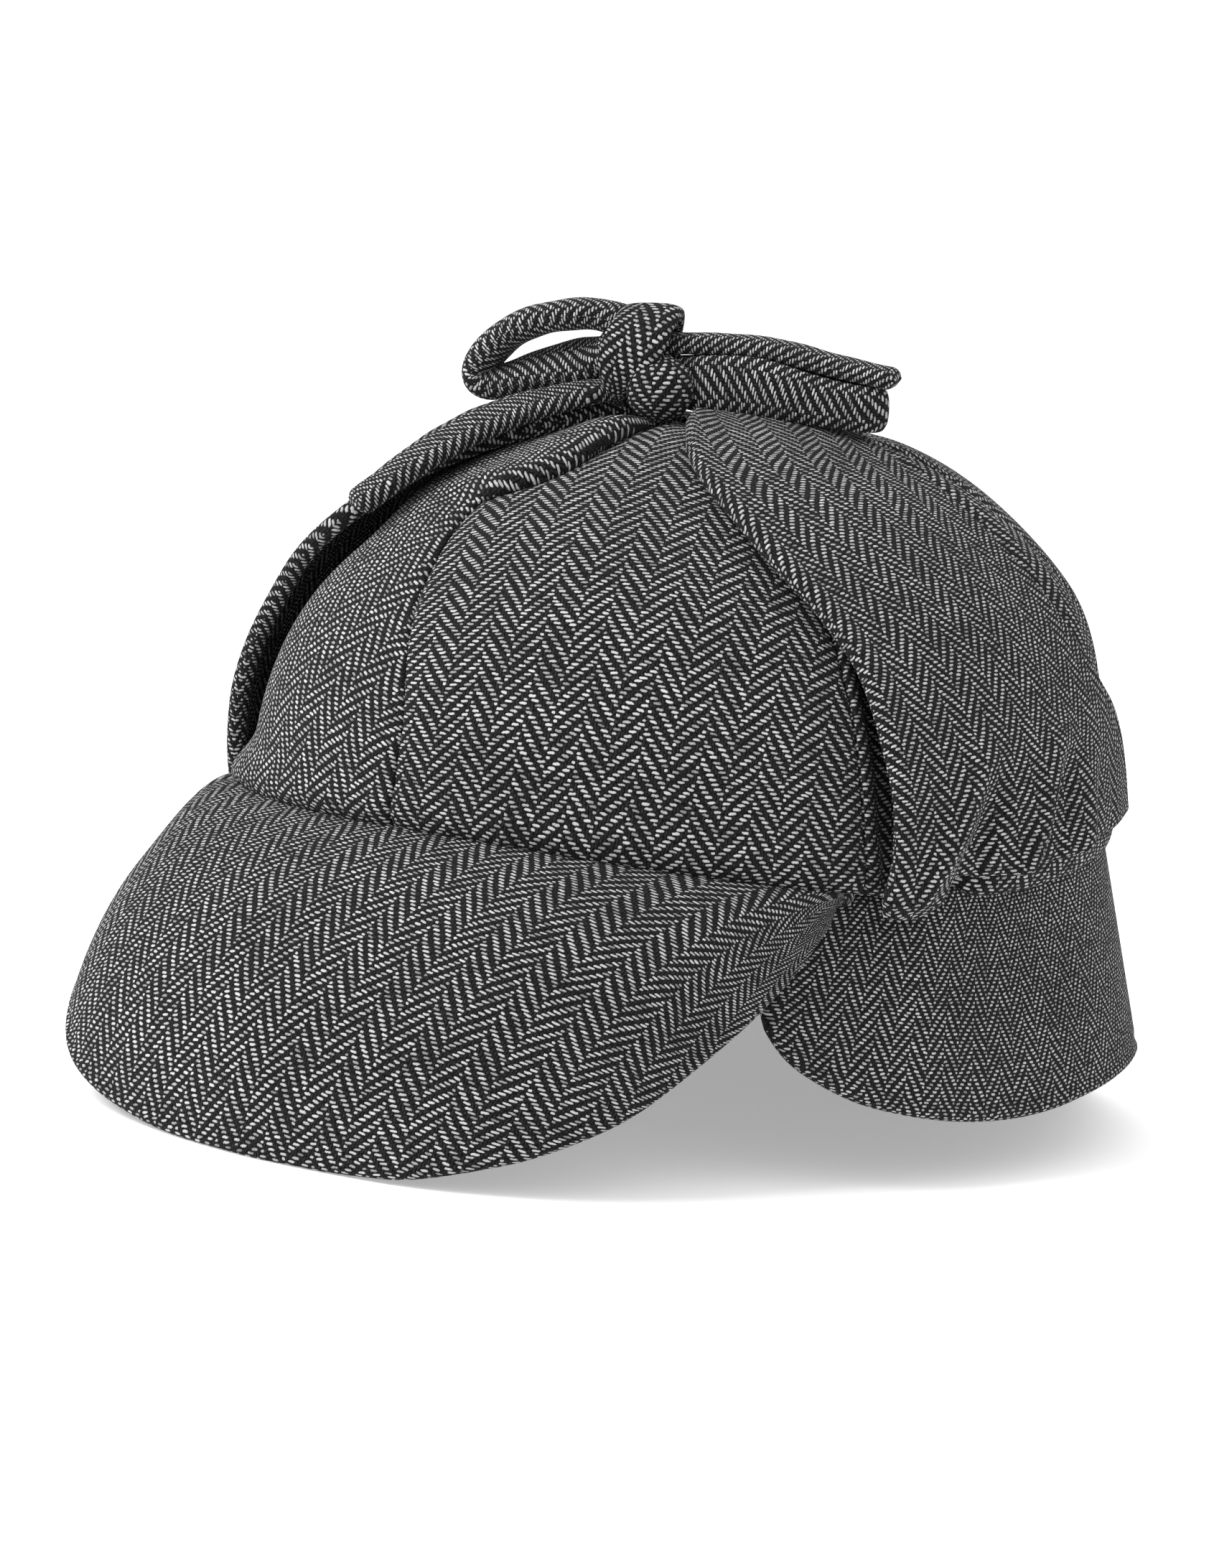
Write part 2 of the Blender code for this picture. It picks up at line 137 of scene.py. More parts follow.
# crown surface, level 0 at the rim and 1 at the top
def crownPoint(angle, level, lift=0.0):
    rim = rimPoint(angle)
    reach = np.hypot(rim[..., 0], rim[..., 1])
    wide = (reach + lift) / reach
    turn = np.maximum(level, 0.0) * math.pi / 2
    toBack = (1 - np.cos(angle)) / 2
    fullness = hat["frontFullness"] + (hat["backFullness"] - hat["frontFullness"]) * toBack
    rise = np.sin(turn) ** (2 / fullness) + np.minimum(level, 0.0)
    height = rim[..., 2] + (hat["height"] - rim[..., 2]) * rise + lift * np.sin(turn)
    return np.stack([rim[..., 0] * wide * np.cos(turn), rim[..., 1] * wide * np.cos(turn), height], -1)


def turnToStand(points):
    rollCos, rollSin = math.cos(standing["roll"]), math.sin(standing["roll"])
    leanCos, leanSin = math.cos(standing["lean"]), math.sin(standing["lean"])
    x, y, z = points[..., 0], points[..., 1], points[..., 2]
    x, z = x * rollCos - z * rollSin, x * rollSin + z * rollCos
    return np.stack([x, y * leanCos - z * leanSin, y * leanSin + z * leanCos], -1)


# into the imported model's frame, flattened where the cloth meets the table
def stand(points):
    placed = turnToStand(points) + np.array([standing["side"], standing["forward"], standing["up"]])
    placed[..., 2] = np.maximum(placed[..., 2], 0.0)
    return placed


def gridNormals(grid):
    normal = np.cross(np.gradient(grid, axis=1), np.gradient(grid, axis=0))
    return normal / np.maximum(np.linalg.norm(normal, axis=-1, keepdims=True), tiny)


# positions along a length, crowded at both ends so the wall's edge comes out
# round, and how much of the wall's thickness each has; a round takes up a
# quarter of a short length at most
def edgeSpread(length, radius, count, steps=4):
    length = np.atleast_1d(length)[:, None]
    radius = np.minimum(radius, length / 4)
    turn = np.linspace(0, math.pi / 2, steps + 1)[None, :]
    near = radius * (1 - np.cos(turn))
    middle = radius + (length - 2 * radius) * np.linspace(0, 1, count)[None, 1:-1]
    positions = np.concatenate([near, middle, length - near[:, ::-1]], 1)
    full = np.concatenate([np.sin(turn[0]), np.ones(count - 2), np.sin(turn[0])[::-1]])
    return positions, full


# arc length along one axis of a grid, in mm
def runLength(grid, axis):
    step = np.linalg.norm(np.diff(grid, axis=axis), axis=-1) * mm
    start = np.zeros_like(np.take(step, [0], axis=axis))
    return np.concatenate([start, np.cumsum(step, axis=axis)], axis=axis)


# cloth position in mm: u along the weft, v down the warp; across is the weft's
# way in space and spin turns it in the cloth. Both run out from one column
def weaveUv(surface, across, column, spin=0.0):
    normal = gridNormals(surface)
    weft = across - normal * np.sum(across * normal, axis=-1, keepdims=True)
    weft /= np.linalg.norm(weft, axis=-1, keepdims=True)
    warp = np.cross(weft, normal)
    turnCos, turnSin = math.cos(spin), math.sin(spin)
    weft, warp = weft * turnCos + warp * turnSin, warp * turnCos - weft * turnSin
    found = []
    for way in (weft, warp):
        along = np.sum(np.diff(surface, axis=1) * (way[:, 1:] + way[:, :-1]), axis=-1) * mm / 2
        along = np.concatenate([np.zeros((len(along), 1)), np.cumsum(along, axis=1)], 1)
        line, lineWay = surface[:, column], way[:, column]
        down = np.sum(np.diff(line, axis=0) * (lineWay[1:] + lineWay[:-1]), axis=-1) * mm / 2
        down = np.concatenate([[0], np.cumsum(down)])
        found.append(along - along[:, [column]] + down[:, None])
    return np.stack(found, -1)


# cloth position in mm of a grid of points, with the weft following across
# as evenly as the curved surface lets it
def evenUv(surface, across):
    normal = gridNormals(surface)
    weft = across - normal * np.sum(across * normal, axis=-1, keepdims=True)
    weft /= np.linalg.norm(weft, axis=-1, keepdims=True)
    warp = np.cross(weft, normal)
    down, beside = np.diff(surface, axis=0), np.diff(surface, axis=1)
    downLong, besideLong = np.linalg.norm(down, axis=-1), np.linalg.norm(beside, axis=-1)
    downWeight = besideLong.mean() / downLong
    besideWeight = downLong.mean() / besideLong

    def spreadOut(downFlow, besideFlow):
        total = np.zeros(surface.shape[:2])
        total[1:] += downFlow
        total[:-1] -= downFlow
        total[:, 1:] += besideFlow
        total[:, :-1] -= besideFlow
        return total

    found = []
    for way in (weft, warp):
        downWish = np.sum(down * (way[1:] + way[:-1]), axis=-1) * mm / 2
        besideWish = np.sum(beside * (way[:, 1:] + way[:, :-1]), axis=-1) * mm / 2
        answer = np.zeros(surface.shape[:2])
        rest = spreadOut(downWeight * downWish, besideWeight * besideWish)
        move, size = rest.copy(), np.sum(rest * rest)
        for _ in range(evenSteps):
            pull = spreadOut(downWeight * np.diff(move, axis=0), besideWeight * np.diff(move, axis=1))
            step = size / np.sum(move * pull)
            answer += step * move
            rest -= step * pull
            newSize = np.sum(rest * rest)
            move = rest + newSize / size * move
            size = newSize
        found.append(answer)
    return np.stack(found, -1)


# values of an even grid at places given from 0 to 1 along both of its axes
def betweenGrid(grid, rowAt, columnAt):
    rows, columns = grid.shape[:2]
    y, x = np.clip(rowAt, 0, 1) * (rows - 1), np.clip(columnAt, 0, 1) * (columns - 1)
    i, j = np.minimum(y.astype(int), rows - 2), np.minimum(x.astype(int), columns - 2)
    y, x = (y - i)[..., None], (x - j)[..., None]
    near = grid[i, j] * (1 - x) + grid[i, j + 1] * x
    far = grid[i + 1, j] * (1 - x) + grid[i + 1, j + 1] * x
    return near * (1 - y) + far * y


def addMesh(name, points, faces, faceUv, material):
    mesh = bpy.data.meshes.new(name)
    mesh.from_pydata([tuple(p) for p in points], [], faces)
    layer = mesh.uv_layers.new(name=uvName)
    layer.data.foreach_set("uv", np.asarray(faceUv, dtype=np.float32).ravel())
    mesh.materials.append(material)
    mesh.shade_smooth()
    piece = bpy.data.objects.new(name, mesh)
    bpy.context.collection.objects.link(piece)
    return piece


# the cloth's position, carried on over the round edges of its wall
def overEdges(middle, half, uv):
    for axis in (0, 1):
        run = np.linalg.norm(np.diff(middle, axis=axis), axis=-1)
        climb = np.diff(half, axis=axis)
        longer = np.sqrt(run ** 2 + climb ** 2) / np.maximum(run, leastStep) - 1
        extra = np.diff(uv, axis=axis) * longer[..., None]
        start = 0 * np.take(extra, [0], axis=axis)
        extra = np.concatenate([start, np.cumsum(extra, axis=axis)], axis=axis)
        uv = uv + extra - np.take(extra, [extra.shape[axis] // 2], axis=axis)
    return uv


# closed wall of cloth with round edges; half is zero all round the border
def clothWall(name, middle, half, uv, material):
    rows, columns = middle.shape[:2]
    normal = gridNormals(middle)
    uv = overEdges(middle, half, uv)
    outer = stand(middle + normal * half[..., None])
    inner = stand(middle - normal * half[..., None])
    ids = np.arange(rows * columns).reshape(rows, columns)
    innerIds = ids.copy()
    inside = np.arange((rows - 2) * (columns - 2)).reshape(rows - 2, columns - 2)
    innerIds[1:-1, 1:-1] = rows * columns + inside
    points = np.concatenate([outer.reshape(-1, 3), inner[1:-1, 1:-1].reshape(-1, 3)])

    def corners(grid, back):
        order = [grid[:-1, :-1], grid[:-1, 1:], grid[1:, 1:], grid[1:, :-1]]
        if back:
            order = order[::-1]
        return np.stack(order, -1).reshape(-1, 4)

    faces = np.concatenate([corners(ids, False), corners(innerIds, True)])
    flatUv = uv.reshape(-1, 2)
    faceUv = np.concatenate([flatUv[corners(ids, False)], flatUv[corners(ids, True)]])
    return addMesh(name, points, faces.tolist(), faceUv, material)


# closed strap through rings of points, its ends drawn to a point
def tube(name, rings, uv, material):
    count, sides = rings.shape[:2]
    faces, faceUv = [], []
    points = stand(rings.reshape(-1, 3))
    ends = stand(rings[[0, -1]].mean(axis=1))
    for ring in range(count - 1):
        for side in range(sides):
            here, beside = ring * sides + side, ring * sides + (side + 1) % sides
            faces.append([here, beside, beside + sides, here + sides])
            faceUv += [uv[ring, side], uv[ring, side + 1], uv[ring + 1, side + 1], uv[ring + 1, side]]
    for side in range(sides):
        beside = (side + 1) % sides
        faces.append([beside, side, count * sides])
        faceUv += [uv[0, side + 1], uv[0, side], uv[0, side]]
        faces.append([(count - 1) * sides + side, (count - 1) * sides + beside, count * sides + 1])
        faceUv += [uv[-1, side], uv[-1, side + 1], uv[-1, side]]
    return addMesh(name, np.concatenate([points, ends]), faces, faceUv, material)


# adds a node with its settings and links; of a node given as an input, the first output is used
def addNode(tree, kind, inputs=(), **settings):
    node = tree.nodes.new("ShaderNode" + kind)
    for key, value in settings.items():
        setattr(node, key, value)
    for key, value in inputs.items() if isinstance(inputs, dict) else enumerate(inputs):
        if isinstance(value, bpy.types.Node):
            value = value.outputs[0]
        if isinstance(value, bpy.types.NodeSocket):
            tree.links.new(value, node.inputs[key])
        else:
            node.inputs[key].default_value = value
    return node


woolLook = {
    "weftDark": "#505050",
    "weftLight": "#c2c2c2",
    # nearly black: the warp's darkest hairs and the painted shade of its sides and of the grooves
    "warpDarkAndGrooveShade": "#020202",
    "warpLight": "#323232",
    # the cloth wanders a little, as a hand-steamed one does: mm, turns per mm, detail
    "wanders": (((1.6, 1.6, 0.0), 0.07, 1.0), ((0.30, 0.34, 0.0), 0.9, 2.0)),
    # a float's half width in picks, and its own tilt and offset
    "halfPick": 0.355,
    "tilt": 0.08,
    "offset": 0.07,
    # a float reaches this far past its ends, and one cut shorter than the range fades out
    "pastEnd": 0.08,
    "leastHalf": 0.05,
    "shortRange": (0.42, 0.2),
    # how square a float's outline is
    "acrossPower": 2.2,
    "alongPower": 3.4,
    "fray": 0.34,
    # a float's edge, and the groove beside it, where the warp shows, sunk in relief and painted darker as
    # shade
    "edgeRange": (1.35, 0.40),
    "grooveRange": (1.1, 3.0),
    "warpHeight": 0.6,
    # melange wool: how much each cause adds to a float's grey; the round one is painted shade, lighter on
    # a float's crown and darker at its sides
    "ownGrey": 0.36,
    "yarnGrey": 0.40,
    "fibreGrey": 0.40,
    "nubGrey": 0.30,
    "roundPaintedShade": 0.30,
    "greyRange": (0.44, 1.06),
    "nubRange": (0.66, 0.78),
    "hairRange": (0.30, 0.74),
    "noiseRange": (0.2, 0.8),
    "patches": (0.86, 1.1),
    # position it reads, turns across and down it, detail
    "noises": {
        "frayed": ("yarn", (2.2, 2.6, 0.0), 2.0),
        "yarn": ("row", (0.05, 3.7, 0.0), 2.0),
        "fibres": ("yarn", (1.3, 7.0, 0.0), 2.0),
        "hairs": ("yarn", (3.0, 1.2, 0.0), 3.0),
        "nubs": ("cloth", (0.5, 0.5, 0.0), 1.0),
        "patches": ("cloth", (0.045, 0.045, 0.0), 3.0),
        "fuzz": ("cloth", (6.0, 6.0, 0.0), 3.0),
    },
    "fuzz": 0.25,
    "relief": 0.9,
    "reliefDepth": 0.00032,
    "roughness": 0.92,
    "specular": 0.06,
    "sheen": 0.03,
    "sheenRoughness": 0.6,
}


# matt grey wool tweed, woven in a 2/2 herringbone that is cut clean where its columns
# turn: pale, frayed weft floats over a nearly black warp, each of its own grey. Painted shade darkens the
# floats' sides, the warp's sides and the grooves beside the floats
def tweed(name, look):
    material = bpy.data.materials.new(name)
    material.use_nodes = True
    tree = material.node_tree
    shader = tree.nodes["Principled BSDF"]
    soft = {"interpolation_type": "SMOOTHSTEP"}
    ends = weave["endsPerColumn"]

    # cloth position in mm, then counted in warp ends across and weft picks down
    uv = addNode(tree, "UVMap", uv_map=uvName)
    moved = uv
    for amount, scale, detail in look["wanders"]:
        wander = addNode(tree, "TexNoise", {"Vector": uv, "Scale": scale, "Detail": detail})
        wander = wander.outputs["Color"]
        shift = addNode(tree, "VectorMath", (wander, (0.5, 0.5, 0.5)), operation="SUBTRACT")
        moved = addNode(tree, "VectorMath", (shift, amount, moved), operation="MULTIPLY_ADD")
    split = addNode(tree, "SeparateXYZ", (moved,))
    end = addNode(tree, "Math", (split.outputs["X"], weave["end"]), operation="DIVIDE")
    pick = addNode(tree, "Math", (split.outputs["Y"], weave["pick"]), operation="DIVIDE")
    row = addNode(tree, "Math", (pick,), operation="FLOOR")

    # which column, and which way its twill climbs
    columns = addNode(tree, "Math", (end, ends), operation="DIVIDE")
    column = addNode(tree, "Math", (columns,), operation="FLOOR")
    odd = addNode(tree, "Math", (column, 2.0), operation="FLOORED_MODULO")
    way = addNode(tree, "Math", (odd, -2.0, 1.0), operation="MULTIPLY_ADD")
    columnShare = addNode(tree, "Math", (columns,), operation="FRACT")
    inColumn = addNode(tree, "Math", (columnShare, ends), operation="MULTIPLY")

    # a weft float goes over two ends and under two, one end further in each row
    climbed = addNode(tree, "Math", (row, way, end), operation="MULTIPLY_ADD")
    climbed = addNode(tree, "Math", (climbed, 0.5), operation="ADD")
    inRepeat = addNode(tree, "Math", (climbed, weave["repeat"]), operation="FLOORED_MODULO")
    along = addNode(tree, "Math", (inRepeat, weave["floatMiddle"]), operation="SUBTRACT")
    repeats = addNode(tree, "Math", (climbed, weave["repeat"]), operation="DIVIDE")
    repeat = addNode(tree, "Math", (repeats,), operation="FLOOR")
    floatSpot = addNode(tree, "CombineXYZ", (repeat, row, column))
    own = addNode(tree, "TexWhiteNoise", {"Vector": floatSpot}, noise_dimensions="3D")
    ownParts = addNode(tree, "SeparateColor", (own.outputs["Color"],)).outputs
    tilt = addNode(tree, "MapRange", (ownParts[0], 0.0, 1.0, -look["tilt"], look["tilt"]), **soft)
    offset = addNode(tree, "MapRange", (ownParts[1], 0.0, 1.0, -look["offset"], look["offset"]), **soft)

    # how far across its own width
    inPick = addNode(tree, "Math", (pick,), operation="FRACT")
    across = addNode(tree, "Math", (inPick, 0.5), operation="SUBTRACT")
    across = addNode(tree, "Math", (across, offset), operation="ADD")
    across = addNode(tree, "Math", (along, tilt, across), operation="MULTIPLY_ADD")
    across = addNode(tree, "Math", (across, look["halfPick"]), operation="DIVIDE")
    across = addNode(tree, "Math", (across,), operation="ABSOLUTE")

    # how far along it; a float that meets the column's side is cut short there
    middle = addNode(tree, "Math", (inColumn, along), operation="SUBTRACT")
    low = addNode(tree, "Math", (middle, 1.0), operation="SUBTRACT")
    low = addNode(tree, "Math", (low, 0.0), operation="MAXIMUM")
    high = addNode(tree, "Math", (middle, 1.0), operation="ADD")
    high = addNode(tree, "Math", (high, ends), operation="MINIMUM")
    reach = addNode(tree, "Math", (high, low), operation="SUBTRACT")
    halfLong = addNode(tree, "Math", (reach, 0.5), operation="MULTIPLY")
    reach = addNode(tree, "Math", (halfLong, look["leastHalf"]), operation="MAXIMUM")
    reach = addNode(tree, "Math", (reach, look["pastEnd"]), operation="ADD")
    centre = addNode(tree, "Math", (high, low), operation="ADD")
    centre = addNode(tree, "Math", (centre, 0.5), operation="MULTIPLY")
    along = addNode(tree, "Math", (inColumn, centre), operation="SUBTRACT")
    along = addNode(tree, "Math", (along,), operation="ABSOLUTE")
    along = addNode(tree, "Math", (along, reach), operation="DIVIDE")

    # noise that follows the cloth, the yarns or the rows
    spots = {
        "cloth": uv,
        "yarn": addNode(tree, "CombineXYZ", (end, pick)),
        "row": addNode(tree, "CombineXYZ", (end, row)),
    }
    noises = {}
    for kind, (spot, scale, detail) in look["noises"].items():
        spot = addNode(tree, "VectorMath", (spots[spot], scale), operation="MULTIPLY")
        noises[kind] = addNode(tree, "TexNoise", {"Vector": spot, "Scale": 1.0, "Detail": detail})

    # grain is 0 on a float's middle and 1 on its frayed outline
    grain = addNode(tree, "Math", (across, look["acrossPower"]), operation="POWER")
    alongGrain = addNode(tree, "Math", (along, look["alongPower"]), operation="POWER")
    short = addNode(tree, "MapRange", (halfLong, *look["shortRange"]), **soft)
    frayed = (noises["frayed"], *look["noiseRange"], -look["fray"], look["fray"])
    frayed = addNode(tree, "MapRange", frayed, **soft)
    for more in (alongGrain, short, frayed):
        grain = addNode(tree, "Math", (grain, more), operation="ADD")
    mask = addNode(tree, "MapRange", (grain, *look["edgeRange"]), **soft)
    groove = addNode(tree, "MapRange", (grain, *look["grooveRange"]), **soft)

    # a float stands up round, and the warp is round between the floats; these shapes also paint shade into
    # the colour
    barrel = addNode(tree, "Math", (1.0, grain), operation="SUBTRACT")
    barrel = addNode(tree, "Math", (barrel, 0.0), operation="MAXIMUM")
    barrel = addNode(tree, "Math", (barrel,), operation="SQRT")
    inEnd = addNode(tree, "Math", (end,), operation="FRACT")
    inEnd = addNode(tree, "Math", (inEnd, 0.5), operation="SUBTRACT")
    warp = addNode(tree, "Math", (inEnd, 2.0), operation="POWER")
    warp = addNode(tree, "Math", (warp, -4.0, 1.0), operation="MULTIPLY_ADD")
    warp = addNode(tree, "Math", (warp, 0.0), operation="MAXIMUM")
    warp = addNode(tree, "Math", (warp,), operation="SQRT")
    warp = addNode(tree, "Math", (warp, groove), operation="MULTIPLY")

    # melange wool: every float has its own grey, and fibres run along the yarn; its roundness adds painted
    # shade, lighter on its crown and darker at its sides
    nubs = addNode(tree, "MapRange", (noises["nubs"], *look["nubRange"]), **soft)
    causes = (
        (ownParts[2], look["ownGrey"]),
        (noises["yarn"], look["yarnGrey"]),
        (noises["fibres"], look["fibreGrey"]),
        (nubs, look["nubGrey"]),
        # painted shade: the float's roundness makes its grey lighter on top
        (barrel, look["roundPaintedShade"]),
    )
    shade = 0.0
    for cause, share in causes:
        shade = addNode(tree, "Math", (cause, share, shade), operation="MULTIPLY_ADD")
    shade = addNode(tree, "MapRange", (shade, *look["greyRange"]), **soft)
    hairs = addNode(tree, "MapRange", (noises["hairs"], *look["hairRange"]), **soft)
    # the warp's hairs, with painted shade at the warp's sides and in the groove beside the floats
    hairs = addNode(tree, "Math", (hairs, warp), operation="MULTIPLY")
    # a Mix node's inputs 6 and 7 are its two colours, and its output 2 the mixed one
    weftMix = {"Factor": shade, 6: linear(look["weftDark"]), 7: linear(look["weftLight"])}
    warpMix = {"Factor": hairs, 6: linear(look["warpDarkAndGrooveShade"]), 7: linear(look["warpLight"])}
    weftColour = addNode(tree, "Mix", weftMix, data_type="RGBA").outputs[2]
    warpColour = addNode(tree, "Mix", warpMix, data_type="RGBA").outputs[2]
    clothMix = {"Factor": mask, 6: warpColour, 7: weftColour}
    cloth = addNode(tree, "Mix", clothMix, data_type="RGBA").outputs[2]
    patches = (noises["patches"], *look["noiseRange"], *look["patches"])
    patches = addNode(tree, "MapRange", patches, **soft)
    final = addNode(tree, "VectorMath", {0: cloth, "Scale": patches}, operation="SCALE")
    tree.links.new(final.outputs[0], shader.inputs["Base Color"])

    # relief in metres
    height = addNode(tree, "Math", (warp, look["warpHeight"]), operation="MULTIPLY")
    height = addNode(tree, "Math", (barrel, height), operation="MAXIMUM")
    height = addNode(tree, "Math", (noises["fuzz"], look["fuzz"], height), operation="MULTIPLY_ADD")
    bump = {"Height": height, "Strength": look["relief"], "Distance": look["reliefDepth"]}
    tree.links.new(addNode(tree, "Bump", bump).outputs[0], shader.inputs["Normal"])
    shader.inputs["Roughness"].default_value = look["roughness"]
    shader.inputs["Specular IOR Level"].default_value = look["specular"]
    shader.inputs["Sheen Weight"].default_value = look["sheen"]
    shader.inputs["Sheen Roughness"].default_value = look["sheenRoughness"]
    return material


# wool tweed of the crown
crownWool = tweed("crownWoolTweed", woolLook)
# the same wool over stiffened visors
visorWool = tweed("visorWoolTweed", woolLook)
# the same wool of the ear flaps
flapWool = tweed("flapWoolTweed", woolLook)
# the same wool, sewn into narrow ties
tieWool = tweed("tieWoolTweed", woolLook)
print("materials made")


def finishPiece(piece, nodes):
    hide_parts(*nodes)
    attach(piece, "root")


# crown
crown = {
    "panels": {
        "crown_front_left": 30,
        "crown_left": 90,
        "crown_back_left": 150,
        "crown_back_right": 210,
        "crown_right": 270,
        "crown_front_right": 330,
    },
    "halfDegrees": 30,
    "long": 0.132,
    "wall": 0.0020,
    "seamGap": 0.0001,
    "top": 0.990,
    "seamDip": 0.0005,
    "seamWidth": 0.0018,
    # the hem rolls out over the rim and tucks in at it, each at a level with a spread
    "hemRoll": 0.0011,
    "hemRollAt": (0.035, 0.030),
    "hemTuck": 0.0005,
    "hemTuckAt": (0.0, 0.012),
    # the side panel drops away under the near flap's front edge
    "hollow": 0.0085,
    "hollowAngles": tuple(math.radians(a) for a in (60.4, 65.5, 71, 80)),
    "hollowLevels": (-0.015, 0.030, 0.24, 0.46),
    # the far side spreads at the rim and falls in behind the far flap's edge
    "farFlare": 0.0020,
    "farFlareTop": 0.05,
    "farHollow": 0.0046,
    "farAngle": math.radians(-64),
    "farSpread": math.radians(26),
    "farLevels": (0.0, 0.09, 0.46, 0.64),
    # fuller behind the ear flaps, which press it in
    "full": 0.0030,
    "fullAngles": (math.radians(103), math.radians(113)),
    "fullLevels": (0.12, 0.34, 0.66, 0.84),
    # soft cloth is never quite even: two waves, each by angle and by level
    "uneven": 0.0005,
    "unevenWaves": ((3.1, 9.0), (2.2, 6.3)),
    "spin": math.radians(9),
    "clothAt": (400, 600),
    "columns": 56,
    "rows": 96,
    "flat": (0.100, 0.140),
    "area": 0.0095,
}
frontSeamRows = (
    # level, degrees: pulled over to the right, and back under the fold on top
    (0.00, 0.0),
    (0.15, 0.0),
    (0.40, -7.0),
    (0.56, -12.5),
    (0.61, -13.5),
    (0.65, -8.0),
    (0.69, -3.0),
    (0.75, 0.0),
    (1.00, 0.0),
)
# the slack of the front right panel lies in a fold over the seam
fold = {
    "height": 0.0038,
    "overlap": 0.0020,
    "round": 0.0036,
    "reach": 0.026,
    "levels": (0.60, 0.67, 0.86, 0.97),
}


def seamAngle(degrees, level):
    drift = smoothTable(frontSeamRows, 1, level) if degrees % 360 == 0 else 0 * level
    return np.radians(degrees + drift)


def foldLift(level, toSeam):
    roll = np.sqrt(1 - (1 - np.clip(toSeam / fold["round"], 0, 1)) ** 2)
    flat = 1 - smoothStep(toSeam, fold["round"], fold["reach"])
    return fold["height"] * hump(level, fold["levels"]) * roll * flat


def crownLift(angle, level, toSeam):
    turned = wrapped(angle)
    dip = -crown["seamDip"] * bell(toSeam, 0, crown["seamWidth"])
    hem = crown["hemRoll"] * bell(level, *crown["hemRollAt"])
    hem = hem - crown["hemTuck"] * bell(level, *crown["hemTuckAt"])
    hollow = -crown["hollow"] * hump(turned, crown["hollowAngles"]) * hump(level, crown["hollowLevels"])
    flare = crown["farFlare"] * kickAt(angle) / hat["kick"]
    flare = flare * (1 - smoothStep(level, 0, crown["farFlareTop"]))
    far = -crown["farHollow"] * bell(turned, crown["farAngle"], crown["farSpread"])
    far = far * hump(level, crown["farLevels"])
    full = crown["full"] * smoothStep(np.abs(turned), *crown["fullAngles"])
    full = full * hump(level, crown["fullLevels"])
    uneven = crown["uneven"]
    for byAngle, byLevel in crown["unevenWaves"]:
        uneven = uneven * np.sin(byAngle * angle + byLevel * level)
    return dip + hem + hollow + flare + far + full + uneven


for name, middleDegrees in crown["panels"].items():
    place, fullRow = edgeSpread(crown["long"], crown["wall"] / 2, crown["rows"])
    level = crown["top"] * place[0][:, None] / crown["long"]
    radius = hat["rimHalfWidth"] * np.cos(level * math.pi / 2)
    inset = crown["seamGap"] / 2 / radius
    start = seamAngle(middleDegrees - crown["halfDegrees"], level) + inset
    end = seamAngle(middleDegrees + crown["halfDegrees"], level) - inset
    folded = name == "crown_front_right"
    if folded:
        end = end + fold["overlap"] * hump(level, fold["levels"]) / radius
    wide = ((end - start) * radius)[:, 0]
    across, fullColumn = edgeSpread(wide, crown["wall"] / 2, crown["columns"])
    angle = start + (end - start) * across / wide[:, None]
    toSeam = np.minimum(across, wide[:, None] - across)
    level = level + 0 * angle
    lift = crownLift(angle, level, toSeam)
    if folded:
        lift = lift + foldLift(level, wide[:, None] - across)
    top = crownPoint(angle, level, lift)
    plain = crownPoint(angle, level)
    half = crown["wall"] / 2 * fullRow[:, None] * fullColumn[None, :]
    middle = top - gridNormals(top) * crown["wall"] / 2
    # the cloth's columns run up the panel's middle, a little off its line
    target = math.radians(middleDegrees)
    across = np.array([math.cos(target), math.sin(target), 0.0])
    uv = weaveUv(plain, across, top.shape[1] // 2, crown["spin"])
    uv = uv + crown["clothAt"] + (middleDegrees, 0)
    panel = clothWall(name + "Cloth", middle, half, uv, crownWool)
    finishPiece(panel, [name])
print("crown made")

# visors
visorEdge = {
    # share of a visor's length over which its root follows the rim
    "rootReach": 0.55,
    "sideReach": 1.6,
    # a bead of turned cloth runs round the edge, with the stitched groove inside it
    "beadSpread": 0.0026,
    "groove": 0.0006,
    "grooveAt": 0.0034,
    "grooveSpread": 0.0010,
    "walkSteps": 120,
    "clothAt": (500, 500),
}
frontVisor = {
    "halfAngle": 58,
    "rimLong": 0.200,
    "wall": 0.0030,
    "bead": 0.0036,
    "under": 0.0028,
    "sink": -0.0004,
    "bend": math.radians(59),
    # share of the bend at the root, and how much is added to the edge
    "bendStart": -0.6,
    "bendMore": 1.2,
    "stretch": 1.0,
    # run along the rim where the map starts to follow it, in mm, and how far it does
    "farFade": (-50, -25),
    "farShare": 0.55,
    # run along the rim from the middle in mm, and the weft's drop or the cloth's scale
    "drop": (
        (-40, -24, -10, 17, 37, 50, 63, 72),
        (-0.2, -0.18, -0.03, -0.03, 0.03, 0.18, 0.30, 0.28),
    ),
    "widen": (
        (-40, -24, -10, 17, 37, 50, 63, 72),
        (1.18, 1.19, 1.2, 1.14, 1.09, 0.94, 0.76, 0.68),
    ),
    "columns": 220,
    "rows": 70,
}
